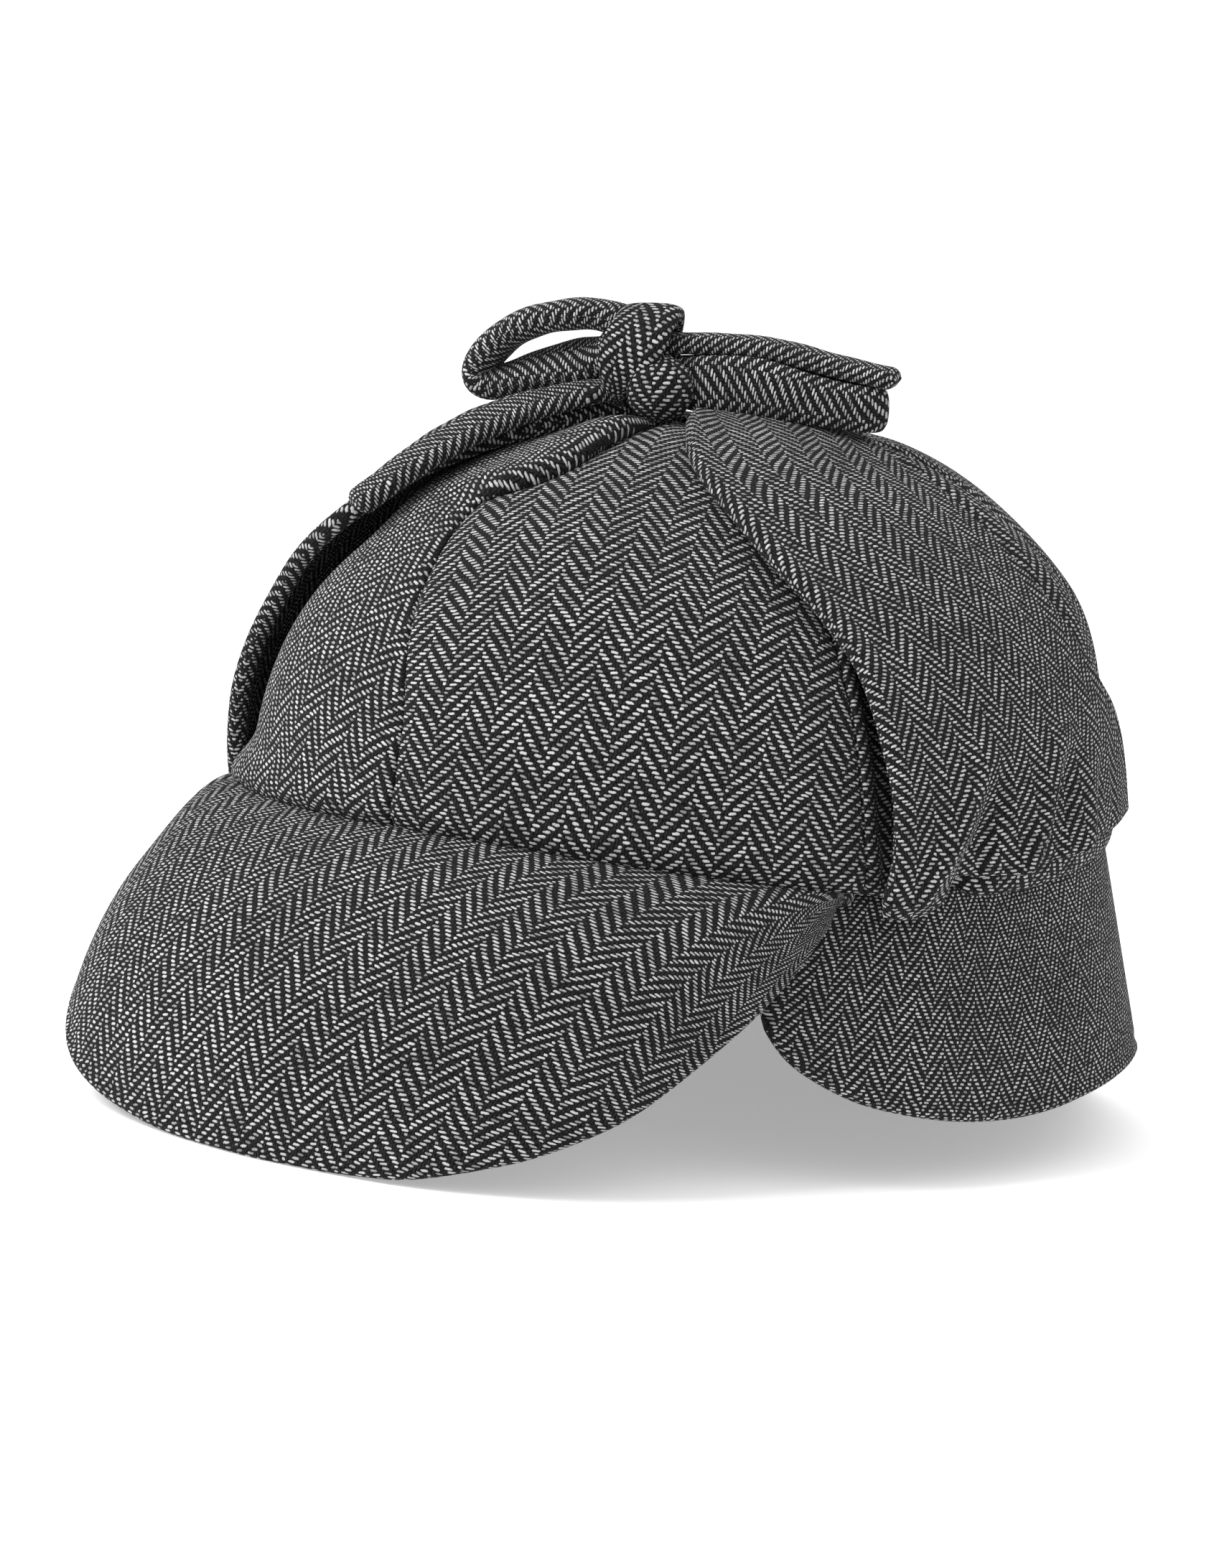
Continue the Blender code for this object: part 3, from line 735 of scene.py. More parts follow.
# not chosen by hand: a least-squares fit to the visor's outline and weave in the
# photo gave these rows, and two of the lengths were evened out afterwards
frontVisorRows = (
    # angle, length, slope, swing
    (-58, 0.0081, 22.8, 0.048),
    (-56, 0.0270, 23.6, 0.043),
    (-52, 0.0449, 25.2, 0.033),
    (-46, 0.0582, 27.8, 0.016),
    (-37, 0.0680, 31.6, -0.010),
    (-26, 0.0749, 35.6, -0.040),
    (-14, 0.0785, 38.8, -0.065),
    (0, 0.0813, 40.6, -0.076),
    (14, 0.0828, 40.3, -0.062),
    (26, 0.0825, 39.0, -0.030),
    (37, 0.0767, 37.2, 0.013),
    (46, 0.0650, 35.7, 0.053),
    (52, 0.0460, 34.7, 0.080),
    (56, 0.0268, 34.1, 0.098),
    (58, 0.0079, 33.8, 0.107),
)


# top of a visor: each column of the grid walks out from the rim, and a little
# way back under the crown
def visorSurface(start, length, share, direction):
    count = visorEdge["walkSteps"]
    fine = np.arange(-count // 2, count + 1) / count
    steps = np.array([direction(max(s, 0.0)) for s in (fine[1:] + fine[:-1]) / 2]) / count
    walked = np.concatenate([0 * steps[:1], np.cumsum(steps, axis=0)])
    walked = walked - walked[count // 2]
    grid = np.empty(share.shape + (3,))
    for column in range(share.shape[1]):
        for axis in range(3):
            grid[:, column, axis] = np.interp(share[:, column], fine, walked[:, column, axis])
    return start[None] + grid * length[None, :, None]


def visorWall(name, degrees, length, direction, tuck, look, clothLine):
    radius = look["bead"] / 2
    angle = np.radians(degrees)
    outward = np.stack([np.sin(angle), -np.cos(angle), 0 * angle], -1)
    kick = kickAt(angle)
    start = rimPoint(angle) - tuck[:, None] * outward
    start[:, 2] -= look["sink"] + kick
    place, fullRow = edgeSpread(length + look["under"], radius, look["rows"])
    place = place - look["under"]
    share = (place / length[:, None]).T
    top = visorSurface(start, length, share, direction)
    # the kicked-up rim takes the visor's root with it
    root = (1 - smoothStep(share, 0.0, visorEdge["rootReach"]))[..., None]
    top = top + root * (outward * (kick * crown["farFlare"] / hat["kick"])[:, None])
    top[..., 2] += root[..., 0] * kick
    gap = length[None, :] - place.T
    side = runLength(start[None], 1)[0] / mm
    toSide = np.minimum(side, side[-1] - side)
    edge = np.minimum(gap, toSide * visorEdge["sideReach"])
    thick = look["wall"] + (look["bead"] - look["wall"]) * bell(edge, 0.0, visorEdge["beadSpread"])
    thick = thick - visorEdge["groove"] * bell(edge, visorEdge["grooveAt"], visorEdge["grooveSpread"])
    fullColumn = np.sqrt(np.clip(1 - (1 - np.clip(toSide / radius, 0, 1)) ** 2, 0, 1))
    half = thick / 2 * fullRow[:, None] * fullColumn[None, :]
    half[0] = half[-1] = 0
    half[:, 0] = half[:, -1] = 0
    top, half = top[::-1], half[::-1]
    middle = top - gridNormals(top) * look["wall"] / 2
    down = runLength(top[::-1], 0)[::-1] - look["under"] * mm
    u, v = clothLine(top, start)
    uv = np.stack([u + 0 * down, v + down * look["stretch"]], -1) + visorEdge["clothAt"]
    return clothWall(name + "Cloth", middle, half, uv, visorWool)


# angles of a visor's columns from its middle, crowded at both ends
def visorDegrees(look):
    spread = edgeSpread(look["rimLong"], look["bead"] / 2, look["columns"])[0][0] / look["rimLong"]
    return -look["halfAngle"] + 2 * look["halfAngle"] * spread


degrees = visorDegrees(frontVisor)
frontSlope = np.radians(smoothTable(frontVisorRows, 2, degrees))
frontSwing = smoothTable(frontVisorRows, 3, degrees)


def frontDirection(share):
    down = frontSlope + (frontVisor["bendMore"] * share + frontVisor["bendStart"]) * frontVisor["bend"]
    way = np.stack([frontSwing, -np.cos(down), -np.sin(down)], -1)
    return way / np.linalg.norm(way, axis=-1, keepdims=True)


def fromMiddle(steps):
    total = np.cumsum(steps, axis=-1)
    middle = total.shape[-1] // 2
    return total - total[..., middle:middle + 1]


# where each column of the grid lies in the cloth; the weft drops towards
# the sides, where the visor turns down
def frontCloth(top, start):
    rim = np.gradient(start, axis=0) * mm
    rimAhead = np.sum(rim * frontDirection(0.0), axis=1)
    rimBeside = np.sqrt(np.maximum(np.sum(rim * rim, axis=1) - rimAhead ** 2, 0))
    run = fromMiddle(rimBeside)
    steps = np.gradient(top, axis=1) * mm
    way = -np.gradient(top, axis=0)
    way /= np.linalg.norm(way, axis=-1, keepdims=True)
    ahead = np.sum(steps * way, axis=-1)
    beside = np.sqrt(np.maximum(np.sum(steps * steps, axis=-1) - ahead ** 2, 0))
    # near the hidden end every row follows the rim, or the map would fold over
    near = 1 - frontVisor["farShare"] * (1 - smoothStep(run, *frontVisor["farFade"]))
    ahead = rimAhead + (ahead - rimAhead) * near
    beside = rimBeside + (beside - rimBeside) * near
    drop = beside * np.interp(run, *frontVisor["drop"])
    return fromMiddle(beside * np.interp(run, *frontVisor["widen"])), fromMiddle(ahead + drop)


frontLength = smoothTable(frontVisorRows, 1, degrees)
noTuck = 0 * degrees
visor = visorWall("front_visor", degrees, frontLength, frontDirection, noTuck, frontVisor, frontCloth)
finishPiece(visor, ["front_visor"])

backVisor = {
    "halfAngle": 128,
    "rimLong": 0.430,
    "wall": 0.0030,
    "bead": 0.0036,
    "under": 0.0028,
    "sink": 0.0004,
    "lean": 0.105,
    "flare": 0.21,
    "swing": 1.70,
    # set in under the rim, and deeper where it goes behind the front visor
    "rimTuck": 0.0016,
    "tuck": 0.0030,
    "tuckDegrees": (108, 116),
    "stretch": 1.16,
    # run from the middle and place in the cloth, in mm
    "widen": ((0, 70, 100, 150, 230), (0, 73.5, 106.5, 171.5, 291.5)),
    "columns": 300,
    "rows": 56,
}
backVisorRows = (
    # angle from the back, length
    (0, 0.0695),
    (24, 0.0645),
    (40, 0.0555),
    (52, 0.0490),
    (68, 0.0460),
    (85, 0.0455),
    (100, 0.0450),
    (112, 0.0435),
    (120, 0.0390),
    (125, 0.0320),
    (128, 0.0220),
)
backDegrees = 180 + visorDegrees(backVisor)
fromBack = np.abs(180 - backDegrees)
backAngle = np.radians(backDegrees)


def backDirection(share):
    ahead = np.cos(backAngle)
    turn = np.where(ahead > 0, -backVisor["swing"] * ahead, -backVisor["lean"] * ahead)
    way = np.stack([backVisor["flare"] * np.sin(backAngle), turn, -1 + 0 * backAngle], -1)
    return way / np.linalg.norm(way, axis=-1, keepdims=True)


tuckStart, tuckEnd = backVisor["tuckDegrees"]
tuck = np.clip((fromBack - tuckStart) / (tuckEnd - tuckStart), 0, 1)
tuck = backVisor["rimTuck"] + backVisor["tuck"] * tuck
backLength = smoothTable(backVisorRows, 1, fromBack)


def backCloth(top, start):
    run = runLength(top, 1)[len(top) // 2]
    run = run - run[len(run) // 2]
    return np.sign(run) * np.interp(np.abs(run), *backVisor["widen"]), 0 * run


visor = visorWall("back_visor", backDegrees, backLength, backDirection, tuck, backVisor, backCloth)
finishPiece(visor, ["back_visor"])
print("visors made")

# ear flaps, folded up over the sides
flap = {
    "wall": 0.0024,
    "clear": 0.0003,
    "roll": 0.0048,
    "rollReach": 0.0045,
    # the front edge's roll is thinner again at the rear
    "rearRoll": 0.4,
    # the folded base rises behind the front edge, between these shares of the width
    "hemRise": 0.065,
    "hemFade": 0.32,
    "hemShares": (-0.9, -0.6),
    # the front lift is full at the edge and gone at this share behind the side
    "liftEnd": 0.35,
    "gatherNarrow": 0.75,
    "gatherWiden": 0.6,
    "gatherStart": (-0.035, 0.03),
    "clothGather": 0.5,
    "upright": 0.6,
    "smoothing": 9,
    "evenGrid": 64,
    "long": 0.128,
    "radius": 0.096,
    "stretch": (1.20, 1.16),
    "clothAt": (700, 700),
    "columns": 150,
    "rows": 150,
    "flat": (0.150, 0.150),
    "area": 0.0098,
}
flapRows = (
    # level, left front, right front, rear, left lift, right lift, rear lift
    (-0.040, 29.0, 29.0, 28.5, 0.0054, 0.0050, 0.0033),
    (-0.010, 29.5, 29.5, 28.5, 0.0066, 0.0054, 0.0031),
    (0.050, 28.5, 30.0, 28.0, 0.0082, 0.0058, 0.0030),
    (0.120, 28.0, 31.0, 26.0, 0.0082, 0.0058, 0.0030),
    (0.200, 28.5, 32.0, 21.0, 0.0076, 0.0054, 0.0030),
    (0.300, 29.5, 34.0, 17.0, 0.0068, 0.0049, 0.0031),
    (0.400, 33.0, 38.0, 14.5, 0.0060, 0.0054, 0.0032),
    (0.500, 38.5, 44.0, 13.0, 0.0054, 0.0054, 0.0034),
    (0.600, 43.5, 45.0, 15.0, 0.0048, 0.0052, 0.0034),
    (0.660, 46.8, 45.8, 16.0, 0.0044, 0.0047, 0.0034),
    (0.700, 49.0, 46.0, 19.0, 0.0042, 0.0044, 0.0034),
    (0.750, 50.6, 46.0, 30.0, 0.0040, 0.0041, 0.0034),
    (0.790, 51.5, 46.0, 43.0, 0.0038, 0.0038, 0.0034),
    (0.870, 51.0, 42.0, 48.0, 0.0034, 0.0034, 0.0032),
    (0.930, 44.0, 36.0, 42.0, 0.0031, 0.0031, 0.0031),
)
gathers = (
    # angle at the rim, how far it leans back as it climbs, top level, height, width
    (65.0, 62.0, 0.23, 0.0026, 2.2),
    (71.5, 44.0, 0.17, -0.0040, 2.4),
    (79.5, 66.0, 0.21, 0.0030, 2.6),
    (86.0, 45.0, 0.16, -0.0036, 2.6),
    (94.0, 40.0, 0.15, 0.0022, 3.0),
    (102.0, 30.0, 0.13, -0.0020, 3.0),
)


# a flap's outer surface and the same with half its gathers; across runs from
# 0 at the front edge to 1 at the rear
def flapSurface(side, level, across):
    front = np.radians(smoothTable(flapRows, 1 if side > 0 else 2, level))[:, None]
    rear = np.radians(smoothTable(flapRows, 3, level))[:, None]
    frontLift = smoothTable(flapRows, 4 if side > 0 else 5, level)[:, None]
    rearLift = smoothTable(flapRows, 6, level)[:, None]
    fromSide = across * (front + rear) - front
    share = np.where(fromSide < 0, fromSide / front, fromSide / rear)
    fullShare = 1 + flap["liftEnd"]
    lift = rearLift + (frontLift - rearLift) * np.clip(flap["liftEnd"] - share, 0, fullShare) / fullShare
    hem = flap["hemRise"] * np.clip(1 - (level - flapRows[0][0]) / flap["hemFade"], 0, 1)
    height = level[:, None] + hem[:, None] * smoothStep(share, *flap["hemShares"])
    angle = math.pi / 2 + fromSide
    ripple = 0 * angle
    for centre, lean, reach, rise, width in gathers:
        along = np.clip(height / reach, 0, 1)
        width = width * (flap["gatherNarrow"] + flap["gatherWiden"] * along)
        ridge = rise * bell(np.degrees(angle), centre + lean * height, width)
        ripple += ridge * (1 - along ** 2) * smoothStep(height, *flap["gatherStart"])
    # a fold never goes in deeper than the crown underneath
    ripple = np.maximum(ripple, flap["wall"] + flap["clear"] - lift)
    angle = side * angle
    cloth = crownPoint(angle, height, lift + flap["clothGather"] * ripple)
    return crownPoint(angle, height, lift + ripple), cloth


# the cloth's columns follow the flap's front edge, and stand upright at its rear
def flapUv(side, rowAt, columnAt):
    even = np.linspace(0, 1, flap["evenGrid"])
    level = flapRows[0][0] + (flapRows[-1][0] - flapRows[0][0]) * even
    plain = flapSurface(side, level, even[None, :])[1]
    normal = gridNormals(plain) * side
    upright = np.gradient(plain, axis=0)
    upright /= np.linalg.norm(upright, axis=-1, keepdims=True)
    kernel = np.ones(flap["smoothing"]) / flap["smoothing"]
    margin = flap["smoothing"] // 2
    edge = np.pad(upright[:, 1], ((margin, margin), (0, 0)), mode="edge")
    edge = np.stack([np.convolve(edge[:, k], kernel, "valid") for k in range(3)], -1)
    # the edge's way, carried round with the normal, and the plain upright way
    ways = np.empty_like(plain)
    ways[:, 0] = edge
    for k in range(1, plain.shape[1]):
        last, out = ways[:, k - 1], normal[:, k]
        way = last - out * np.sum(last * out, axis=-1, keepdims=True)
        ways[:, k] = way / np.linalg.norm(way, axis=-1, keepdims=True)
    blend = (flap["upright"] * smoothStep(even, 0.0, 1.0))[None, :, None]
    climb = ways * (1 - blend) + upright * blend
    across = np.cross(climb, normal)
    if side < 0:
        plain, across = plain[:, ::-1], across[:, ::-1]
    grid = evenUv(plain, across)
    if side < 0:
        grid = grid[:, ::-1]
    return betweenGrid(grid, rowAt, columnAt)


for name, side in (("ear_flap_left", 1), ("ear_flap_right", -1)):
    place, fullRow = edgeSpread(flap["long"], flap["wall"] / 2, flap["rows"])
    rowAt = place[0] / flap["long"]
    level = flapRows[0][0] + (flapRows[-1][0] - flapRows[0][0]) * rowAt
    front = np.radians(smoothTable(flapRows, 1 if side > 0 else 2, level))
    rear = np.radians(smoothTable(flapRows, 3, level))
    wide = (front + rear) * flap["radius"] * np.cos(np.clip(level, 0, 1) * math.pi / 2)
    across, fullColumn = edgeSpread(wide, flap["roll"] / 2, flap["columns"])
    columnAt = across / wide[:, None]
    outer = flapSurface(side, level, columnAt)[0]
    uv = flapUv(side, rowAt[:, None] + 0 * columnAt, columnAt)
    thick = flap["wall"] + (flap["roll"] - flap["wall"]) * bell(across, 0, flap["rollReach"])
    rear = bell(wide[:, None] - across, 0, flap["rollReach"])
    thick = thick + flap["rearRoll"] * (flap["roll"] - flap["wall"]) * rear
    if side < 0:
        outer, uv, thick = outer[:, ::-1], uv[:, ::-1], thick[:, ::-1]
    middle = outer - gridNormals(outer) * flap["wall"] / 2
    half = thick / 2 * fullRow[:, None] * fullColumn[None, :]
    uv = uv * flap["stretch"] + flap["clothAt"]
    piece = clothWall(name + "Cloth", middle, half, uv, flapWool)
    finishPiece(piece, [name])
print("flaps made")

# bow on top
bow = {
    "turn": math.radians(20),
    "loopLeftThickness": 0.0050,
    "loopRightThickness": 0.0068,
    "tailThickness": 0.0046,
    "laidThickness": 0.0050,
    # powers that square a strap's section across and through
    "squareWide": 0.72,
    "squareThick": 0.86,
    "leastCap": 0.02,
    # its faces sag a little: share of the thickness, and two waves along it
    "crumple": 0.05,
    "crumpleWaves": (390, 233),
    "crumpleStart": 1.3,
    "crowd": (1.0, 1.5),
    "clothAt": (200, 300),
    # small steps that find the laid strap's way across and off the crown
    "aheadTurn": 0.02,
    "offStep": 0.001,
    "sides": 28,
    "steps": 110,
}
# the rows of each table that are nearest to the knot lie inside it; the right loop
# and the left tail began as points of the photo, brought into the hat's frame
# through the fitted camera, and were then adjusted
loopRightRows = (
    # along, across, up, width, bank
    (-0.0110, 0.000, 0.1085, 0.010, 0),
    (-0.0186, 0.000, 0.1103, 0.011, 0),
    (-0.0255, 0.000, 0.1101, 0.014, 0),
    (-0.0327, 0.000, 0.1085, 0.015, 0),
    (-0.0381, 0.000, 0.1059, 0.015, 0),
    (-0.0424, 0.000, 0.1022, 0.0145, 0),
    (-0.0448, 0.000, 0.0987, 0.014, 0),
    (-0.0444, 0.000, 0.0961, 0.014, 3),
    (-0.0411, 0.000, 0.0953, 0.014, 7),
    (-0.0344, 0.000, 0.0974, 0.0145, 14),
    (-0.0267, 0.000, 0.0996, 0.0145, 21),
    (-0.0205, 0.000, 0.1008, 0.0135, 25),
    (-0.0130, 0.000, 0.1035, 0.010, 0),
)
loopLeftRows = (
    # along, across, up, width, bank
    (-0.0060, -0.0020, 0.0976, 0.0075, 90),
    (0.0022, -0.0034, 0.0967, 0.0112, 90),
    (0.0090, -0.0044, 0.0967, 0.0124, 90),
    (0.0175, -0.0048, 0.0964, 0.0124, 90),
    (0.0275, -0.0046, 0.0944, 0.0108, 90),
    (0.0355, -0.0038, 0.0930, 0.0098, 90),
    (0.0402, -0.0025, 0.0923, 0.0098, 90),
    (0.0422, 0.0000, 0.0922, 0.0098, 90),
    (0.0402, 0.0027, 0.0926, 0.0096, 90),
    (0.0355, 0.0042, 0.0938, 0.0096, 90),
    (0.0275, 0.0050, 0.0953, 0.0102, 90),
    (0.0175, 0.0050, 0.0970, 0.0104, 90),
    (0.0090, 0.0042, 0.0976, 0.0100, 90),
    (0.0022, 0.0032, 0.0978, 0.0085, 90),
    (-0.0060, 0.0020, 0.0980, 0.0075, 90),
)
tailLeftRows = (
    # along, across, up, width, bank
    (-0.0070, 0.001, 0.1042, 0.010, 0),
    (0.0006, 0.001, 0.1046, 0.011, 0),
    (0.0090, 0.001, 0.1046, 0.011, 0),
    (0.0150, 0.001, 0.1043, 0.011, 0),
    (0.0223, 0.001, 0.1033, 0.011, 0),
    (0.0306, 0.001, 0.1013, 0.011, 0),
    (0.0388, 0.001, 0.0996, 0.011, 0),
    (0.0463, 0.001, 0.0982, 0.011, 0),
)
tailRightRows = (
    # angle, level, lift of the middle above the crown, width, bank
    (-62, 0.925, 0.0068, 0.010, 4),
    (-50, 0.870, 0.0071, 0.011, 6),
    (-50, 0.830, 0.0070, 0.013, 8),
    (-49, 0.780, 0.0070, 0.014, 10),
    (-46, 0.720, 0.0069, 0.014, 12),
    (-43, 0.660, 0.0066, 0.013, 12),
    (-41, 0.610, 0.0063, 0.012, 10),
    (-40, 0.560, 0.0060, 0.011, 8),
    (-40, 0.505, 0.0060, 0.011, 6),
)


def bowPoint(along, across, up):
    turnCos, turnSin = math.cos(bow["turn"]), math.sin(bow["turn"])
    x, y = along * turnCos - across * turnSin, along * turnSin + across * turnCos
    return np.stack([x, y, up + 0 * along], -1)


# even steps along the smooth curve through the rows
def throughRows(rows, count):
    table = np.array(rows, float)
    key = np.concatenate([[0], np.cumsum(np.linalg.norm(np.diff(table[:, :3], axis=0), axis=1))])
    padded = np.vstack([2 * table[0] - table[1], table, 2 * table[-1] - table[-2]])
    out = []
    for position in np.linspace(0, key[-1], count):
        i = int(np.clip(np.searchsorted(key, position) - 1, 0, len(key) - 2))
        t = (position - key[i]) / (key[i + 1] - key[i])
        a, b, c, d = padded[i:i + 4]
        bent = (2 * a - 5 * b + 4 * c - d) * t ** 2 + (3 * b - a - 3 * c + d) * t ** 3
        out.append((2 * b + (c - a) * t + bent) / 2)
    return np.array(out)


# u runs round the strap and v along it, in mm; the seams crowd the picks
def strapUv(rings, length, phase, crowd):
    around = runLength(np.concatenate([rings, rings[:, :1]], 1), 1).mean(axis=0) * crowd[0]
    along = length[:, None] * mm * crowd[1]
    return np.stack([around[None] + phase + 0 * along, along + 0 * around], -1) + bow["clothAt"]


# rounded flat sections of a sewn strap, and the length run at each
def strapRings(middle, wideWay, width, thickness, taper=True):
    travel = np.gradient(middle, axis=0)
    travel /= np.linalg.norm(travel, axis=1, keepdims=True)
    wide = wideWay - travel * np.sum(travel * wideWay, axis=1, keepdims=True)
    wide /= np.linalg.norm(wide, axis=1, keepdims=True)
    thick = np.cross(travel, wide)
    turn = np.linspace(0, 2 * math.pi, bow["sides"], endpoint=False) + math.pi
    squareCos = np.sign(np.cos(turn)) * np.abs(np.cos(turn)) ** bow["squareWide"]
    squareSin = np.sign(np.sin(turn)) * np.abs(np.sin(turn)) ** bow["squareThick"]
    length = runLength(middle[:, None], 0)[:, 0] / mm
    cap = 1 + 0 * length
    if taper:
        toEnd = np.minimum(length, length[-1] - length)
        cap = np.sqrt(np.clip(1 - (1 - np.clip(toEnd / (thickness / 2), 0, 1)) ** 2, bow["leastCap"], 1))
    capWide = 1 - thickness * (1 - cap) / width
    quick, slow = bow["crumpleWaves"]
    crumple = 1 + bow["crumple"] * np.sin(length * quick + bow["crumpleStart"]) * np.sin(length * slow)
    rings = (
        middle[:, None]
        + wide[:, None] * (squareCos[None, :] * (width / 2 * capWide)[:, None])[..., None]
        + thick[:, None] * (squareSin[None, :] * (thickness / 2 * cap * crumple)[:, None])[..., None]
    )
    return rings, length


def strap(name, middle, wideWay, width, thickness, phase):
    rings, length = strapRings(middle, wideWay, width, thickness)
    piece = tube(name + "Cloth", rings, strapUv(rings, length, phase, bow["crowd"]), tieWool)
    finishPiece(piece, [name])


bowStraps = (
    # piece, its rows, thickness, and where its cloth starts round the strap
    ("bow_loop_left", loopLeftRows, bow["loopLeftThickness"], 2.0),
    ("bow_loop_right", loopRightRows, bow["loopRightThickness"], 3.5),
    ("bow_tail_left", tailLeftRows, bow["tailThickness"], 1.0),
)
for name, rows, thickness, phase in bowStraps:
    path = throughRows(rows, bow["steps"])
    bank = np.radians(path[:, 4])[:, None]
    wideWay = np.cos(bank) * bowPoint(0.0, 1.0, 0.0) + np.sin(bank) * np.array([0.0, 0.0, 1.0])
    strap(name, bowPoint(path[:, 0], path[:, 1], path[:, 2]), wideWay, path[:, 3], thickness, phase)

# the right tail is laid over the front of the crown
keys = np.linspace(0, 1, len(tailRightRows))
spots = np.linspace(0, 1, bow["steps"])
laidAngle, laidLevel, laidLift, laidWidth, laidBank = [
    np.interp(spots, keys, np.array(tailRightRows, float)[:, k]) for k in range(5)
]
laidAngle, laidBank = np.radians(laidAngle), np.radians(laidBank)[:, None]
middle = crownPoint(laidAngle, laidLevel, laidLift)
ahead = crownPoint(laidAngle + bow["aheadTurn"], laidLevel, laidLift) - middle
ahead /= np.linalg.norm(ahead, axis=1, keepdims=True)
off = crownPoint(laidAngle, laidLevel, laidLift + bow["offStep"]) - middle
off /= np.linalg.norm(off, axis=1, keepdims=True)
wideWay = np.cos(laidBank) * ahead - np.sin(laidBank) * off
strap("bow_tail_right", middle, wideWay, laidWidth, bow["laidThickness"], 0.0)


# cloth bunched inside the knot
knot = {
    "poleGap": 0.02,
    "lumps": (
        # piece, centre, radii, sides, rings, cloth round and down it in mm, where that starts
        ("bow_knotCoreCloth", (-0.0100, 0.0000, 0.1016), (0.0093, 0.008184, 0.00837), 64, 48, (58, 29), 0),
        ("bow_knotLobeCloth", (-0.0030, -0.0076, 0.0958), (0.0072, 0.0062, 0.0072), 56, 40, (36, 19), 8),
    ),
}
for name, centre, radii, sides, rings, cloth, phase in knot["lumps"]:
    pole = np.linspace(knot["poleGap"], math.pi - knot["poleGap"], rings)[:, None]
    around = np.linspace(0, 2 * math.pi, sides, endpoint=False)[None, :]
    ways = [np.cos(around) * np.sin(pole), np.sin(around) * np.sin(pole), -np.cos(pole) + 0 * around]
    ways = np.stack(ways, -1)
    reach = 1 / np.linalg.norm(ways / np.array(radii), axis=-1, keepdims=True)
    spots = np.array(centre) + ways * reach
    u = np.linspace(0, cloth[0], sides + 1)[None, :] + np.zeros((rings, 1)) + phase
    v = np.linspace(cloth[1], 0, rings)[:, None] + 0 * u
    grid = bowPoint(spots[..., 0], spots[..., 1], spots[..., 2])
    piece = tube(name, grid, np.stack([u, v], -1) + bow["clothAt"], tieWool)
    finishPiece(piece, ["bow_knot"])

# the strap wrapped once over the knot, wide on top and pinched in front
wrap = {
    "centre": (-0.0098, -0.0010, 0.1020),
    "reachAcross": 0.0092,
    "reachUp": 0.0092,
    "thickness": 0.0040,
    "lean": 0.34,
    "sway": 0.0006,
    "width": 0.0138,
    # how much narrower it is, at which turn, over what spread
    "pinches": ((0.0096, 0.80 * math.pi, 0.66), (0.0020, 1.4 * math.pi, 0.80)),
    "crowd": (1.3, 1.0),
    "phase": 1.5,
    "steps": 150,
    # steps carried on past the start, so the ring closes smoothly
    "overlap": 3,
}
turn = np.linspace(0, 2 * math.pi, wrap["steps"], endpoint=False)
across = -np.sin(turn) * wrap["reachAcross"] + wrap["centre"][1]
up = np.cos(turn) * wrap["reachUp"] + wrap["centre"][2]
along = wrap["centre"][0] + wrap["lean"] * (up - wrap["centre"][2]) + wrap["sway"] * np.sin(2 * turn)
middle = bowPoint(along, across, up)
width = wrap["width"] + 0 * turn
for depth, at, pinchSpread in wrap["pinches"]:
    width = width - depth * bell(turn, at, pinchSpread)
past = wrap["overlap"]
middle = np.concatenate([middle[-past:], middle, middle[:past + 1]])
width = np.concatenate([width[-past:], width, width[:past + 1]])
rings, length = strapRings(middle, bowPoint(1.0, 0.0, 0.0) + 0 * middle, width, wrap["thickness"], False)
rings, length = rings[past:-past], length[past:-past]
piece = tube("bow_knotWrapCloth", rings, strapUv(rings, length, wrap["phase"], wrap["crowd"]), tieWool)
finishPiece(piece, ["bow_knot"])
print("bow made")

studio = {
    "white": "#ffffff",
    "paperRoughness": 0.9,
    # the paper glows, painted light that keeps shadows on it pale
    "paperPaintedGlow": 0.35,
    "floorSize": 80,
    "floorDrop": 0.0002,
    # the room is dimmer this way, on the wearer's left
    "dimWay": (0.88, 0.30, -0.38),
    "dimRange": (0.1, 0.9),
    "bright": 1.06,
    "dim": 0.24,
    "lampTarget": (0, 0, 0.08),
    "lamps": (
        # name, place, size, power
        ("keyLight", (-0.6, -1.3, 1.5), 1.0, 28.0),
        ("topLight", (0.0, 0.0, 2.0), 1.2, 9.0),
    ),
}
# white paper, matt, with a painted glow
floorMaterial = bpy.data.materials.new("studioPaper")
floorMaterial.use_nodes = True
paper = floorMaterial.node_tree.nodes["Principled BSDF"]
paper.inputs["Base Color"].default_value = linear(studio["white"])
paper.inputs["Roughness"].default_value = studio["paperRoughness"]
# painted light: the paper glows so that shadows on it stay pale
paper.inputs["Emission Color"].default_value = linear(studio["white"])
paper.inputs["Emission Strength"].default_value = studio["paperPaintedGlow"]
bpy.ops.mesh.primitive_plane_add(size=studio["floorSize"], location=(0, 0, -studio["floorDrop"]))
floor = bpy.context.object
floor.name = "studioFloor"
floor.data.materials.append(floorMaterial)

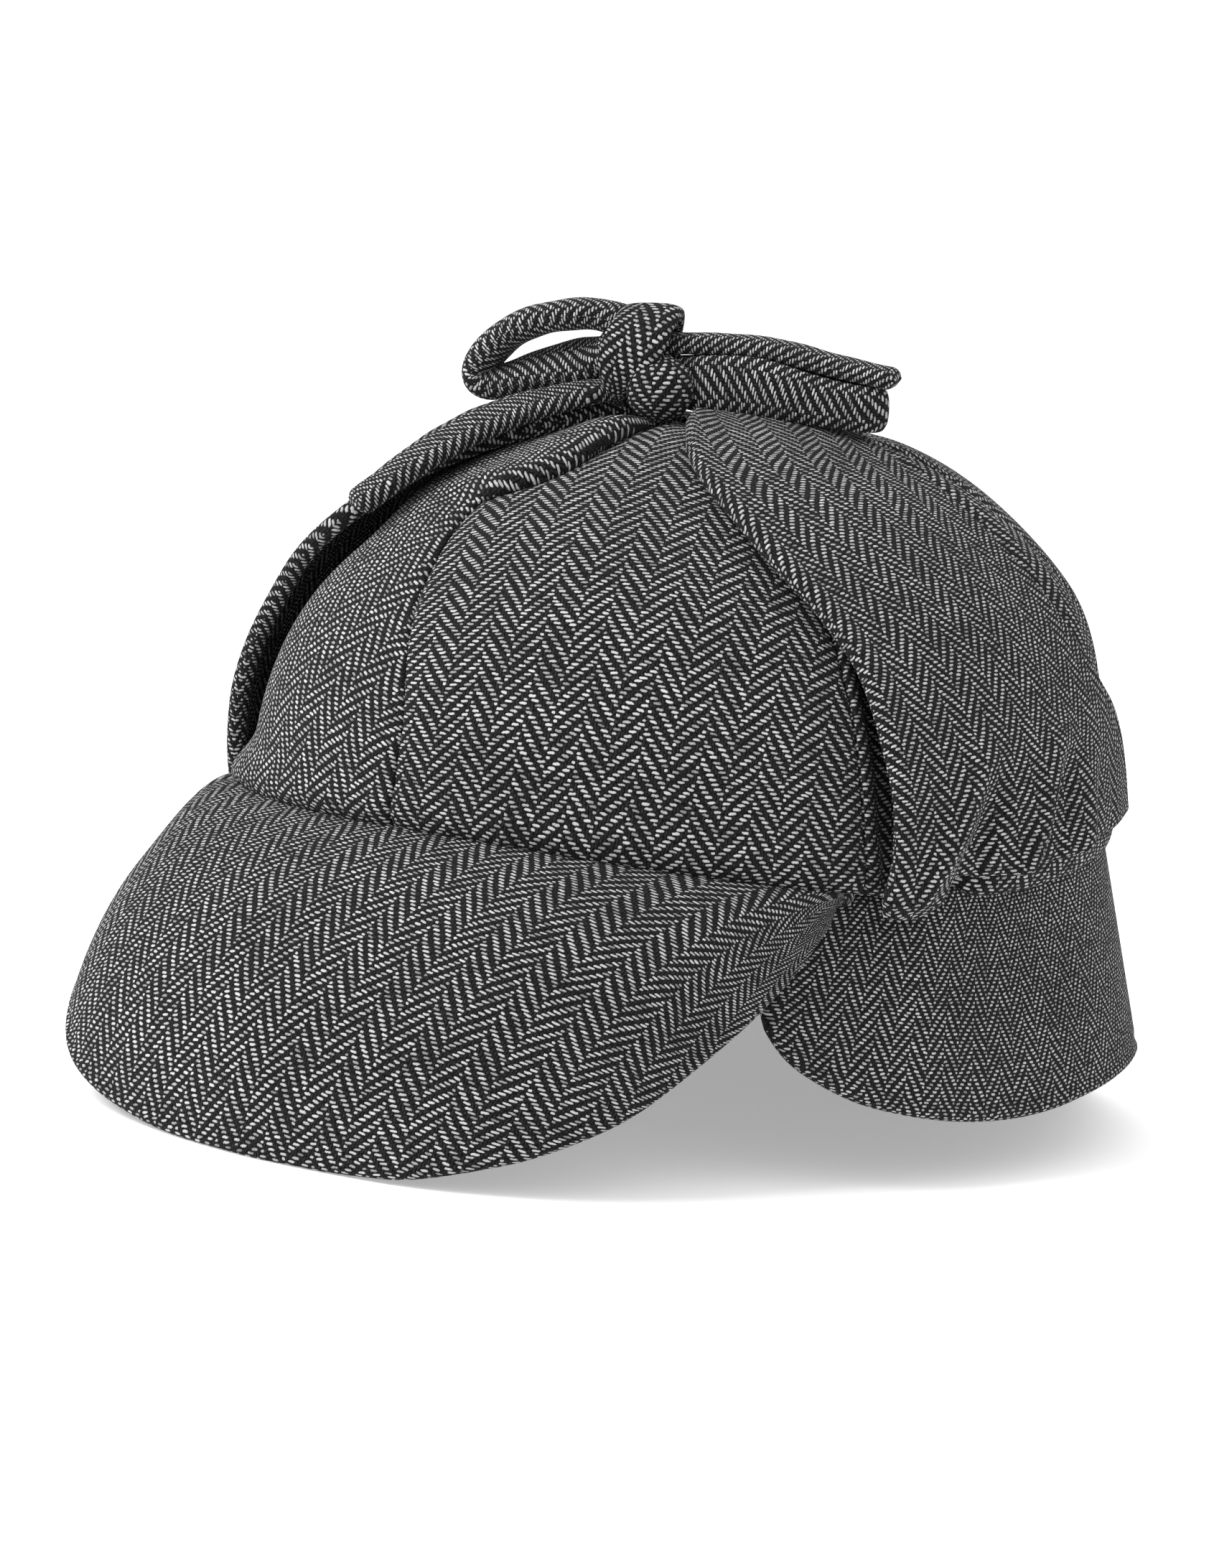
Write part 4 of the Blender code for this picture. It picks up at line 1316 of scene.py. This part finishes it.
world = bpy.data.worlds.new("studio")
bpy.context.scene.world = world
bpy.context.scene.view_settings.view_transform = "Standard"
world.use_nodes = True
sky = world.node_tree
way = addNode(sky, "TexCoord").outputs["Generated"]
side = addNode(sky, "VectorMath", (way, studio["dimWay"]), operation="DOT_PRODUCT").outputs["Value"]
fade = (side, *studio["dimRange"], studio["bright"], studio["dim"])
glow = addNode(sky, "MapRange", fade, interpolation_type="SMOOTHSTEP").outputs[0]
sky.nodes["Background"].inputs["Color"].default_value = linear(studio["white"])
sky.links.new(glow, sky.nodes["Background"].inputs["Strength"])


def aim(place, target):
    back = np.array(place, float) - np.array(target, float)
    back /= np.linalg.norm(back)
    right = np.cross([0, 0, 1], back)
    right /= np.linalg.norm(right)
    turned = np.stack([right, np.cross(back, right), back], 1)
    matrix = Matrix([list(row) for row in turned]).to_4x4()
    matrix.translation = place
    return matrix


for name, place, size, power in studio["lamps"]:
    light = bpy.data.lights.new(name, "AREA")
    light.size = size
    light.energy = power
    lamp = bpy.data.objects.new(name, light)
    lamp.matrix_world = aim(place, studio["lampTarget"])
    bpy.context.collection.objects.link(lamp)

# the camera of the photo, fitted in the hat's own frame
shot = {
    "turn": math.radians(36.0),
    "climb": math.radians(12.6),
    "distance": 0.800,
    "target": (-0.0017, -0.0259, 0.0136),
    "lens": 86.75,
    "sensor": 36.0,
    "clip": 0.05,
}
back = np.array([
    math.sin(shot["turn"]) * math.cos(shot["climb"]),
    -math.cos(shot["turn"]) * math.cos(shot["climb"]),
    math.sin(shot["climb"]),
])
right = np.array([math.cos(shot["turn"]), math.sin(shot["turn"]), 0.0])
axes = turnToStand(np.stack([right, np.cross(back, right), back]))
spot = turnToStand(np.array(shot["target"]) + shot["distance"] * back)
spot = spot + np.array([standing["side"], standing["forward"], standing["up"]])
cameraData = bpy.data.cameras.new("photoCamera")
cameraData.lens = shot["lens"]
cameraData.sensor_width = shot["sensor"]
cameraData.clip_start = shot["clip"]
camera = bpy.data.objects.new("photoCamera", cameraData)
matrix = Matrix([list(row) for row in axes.T]).to_4x4()
matrix.translation = spot
camera.matrix_world = matrix
bpy.context.collection.objects.link(camera)
bpy.context.scene.camera = camera
print("studio set")
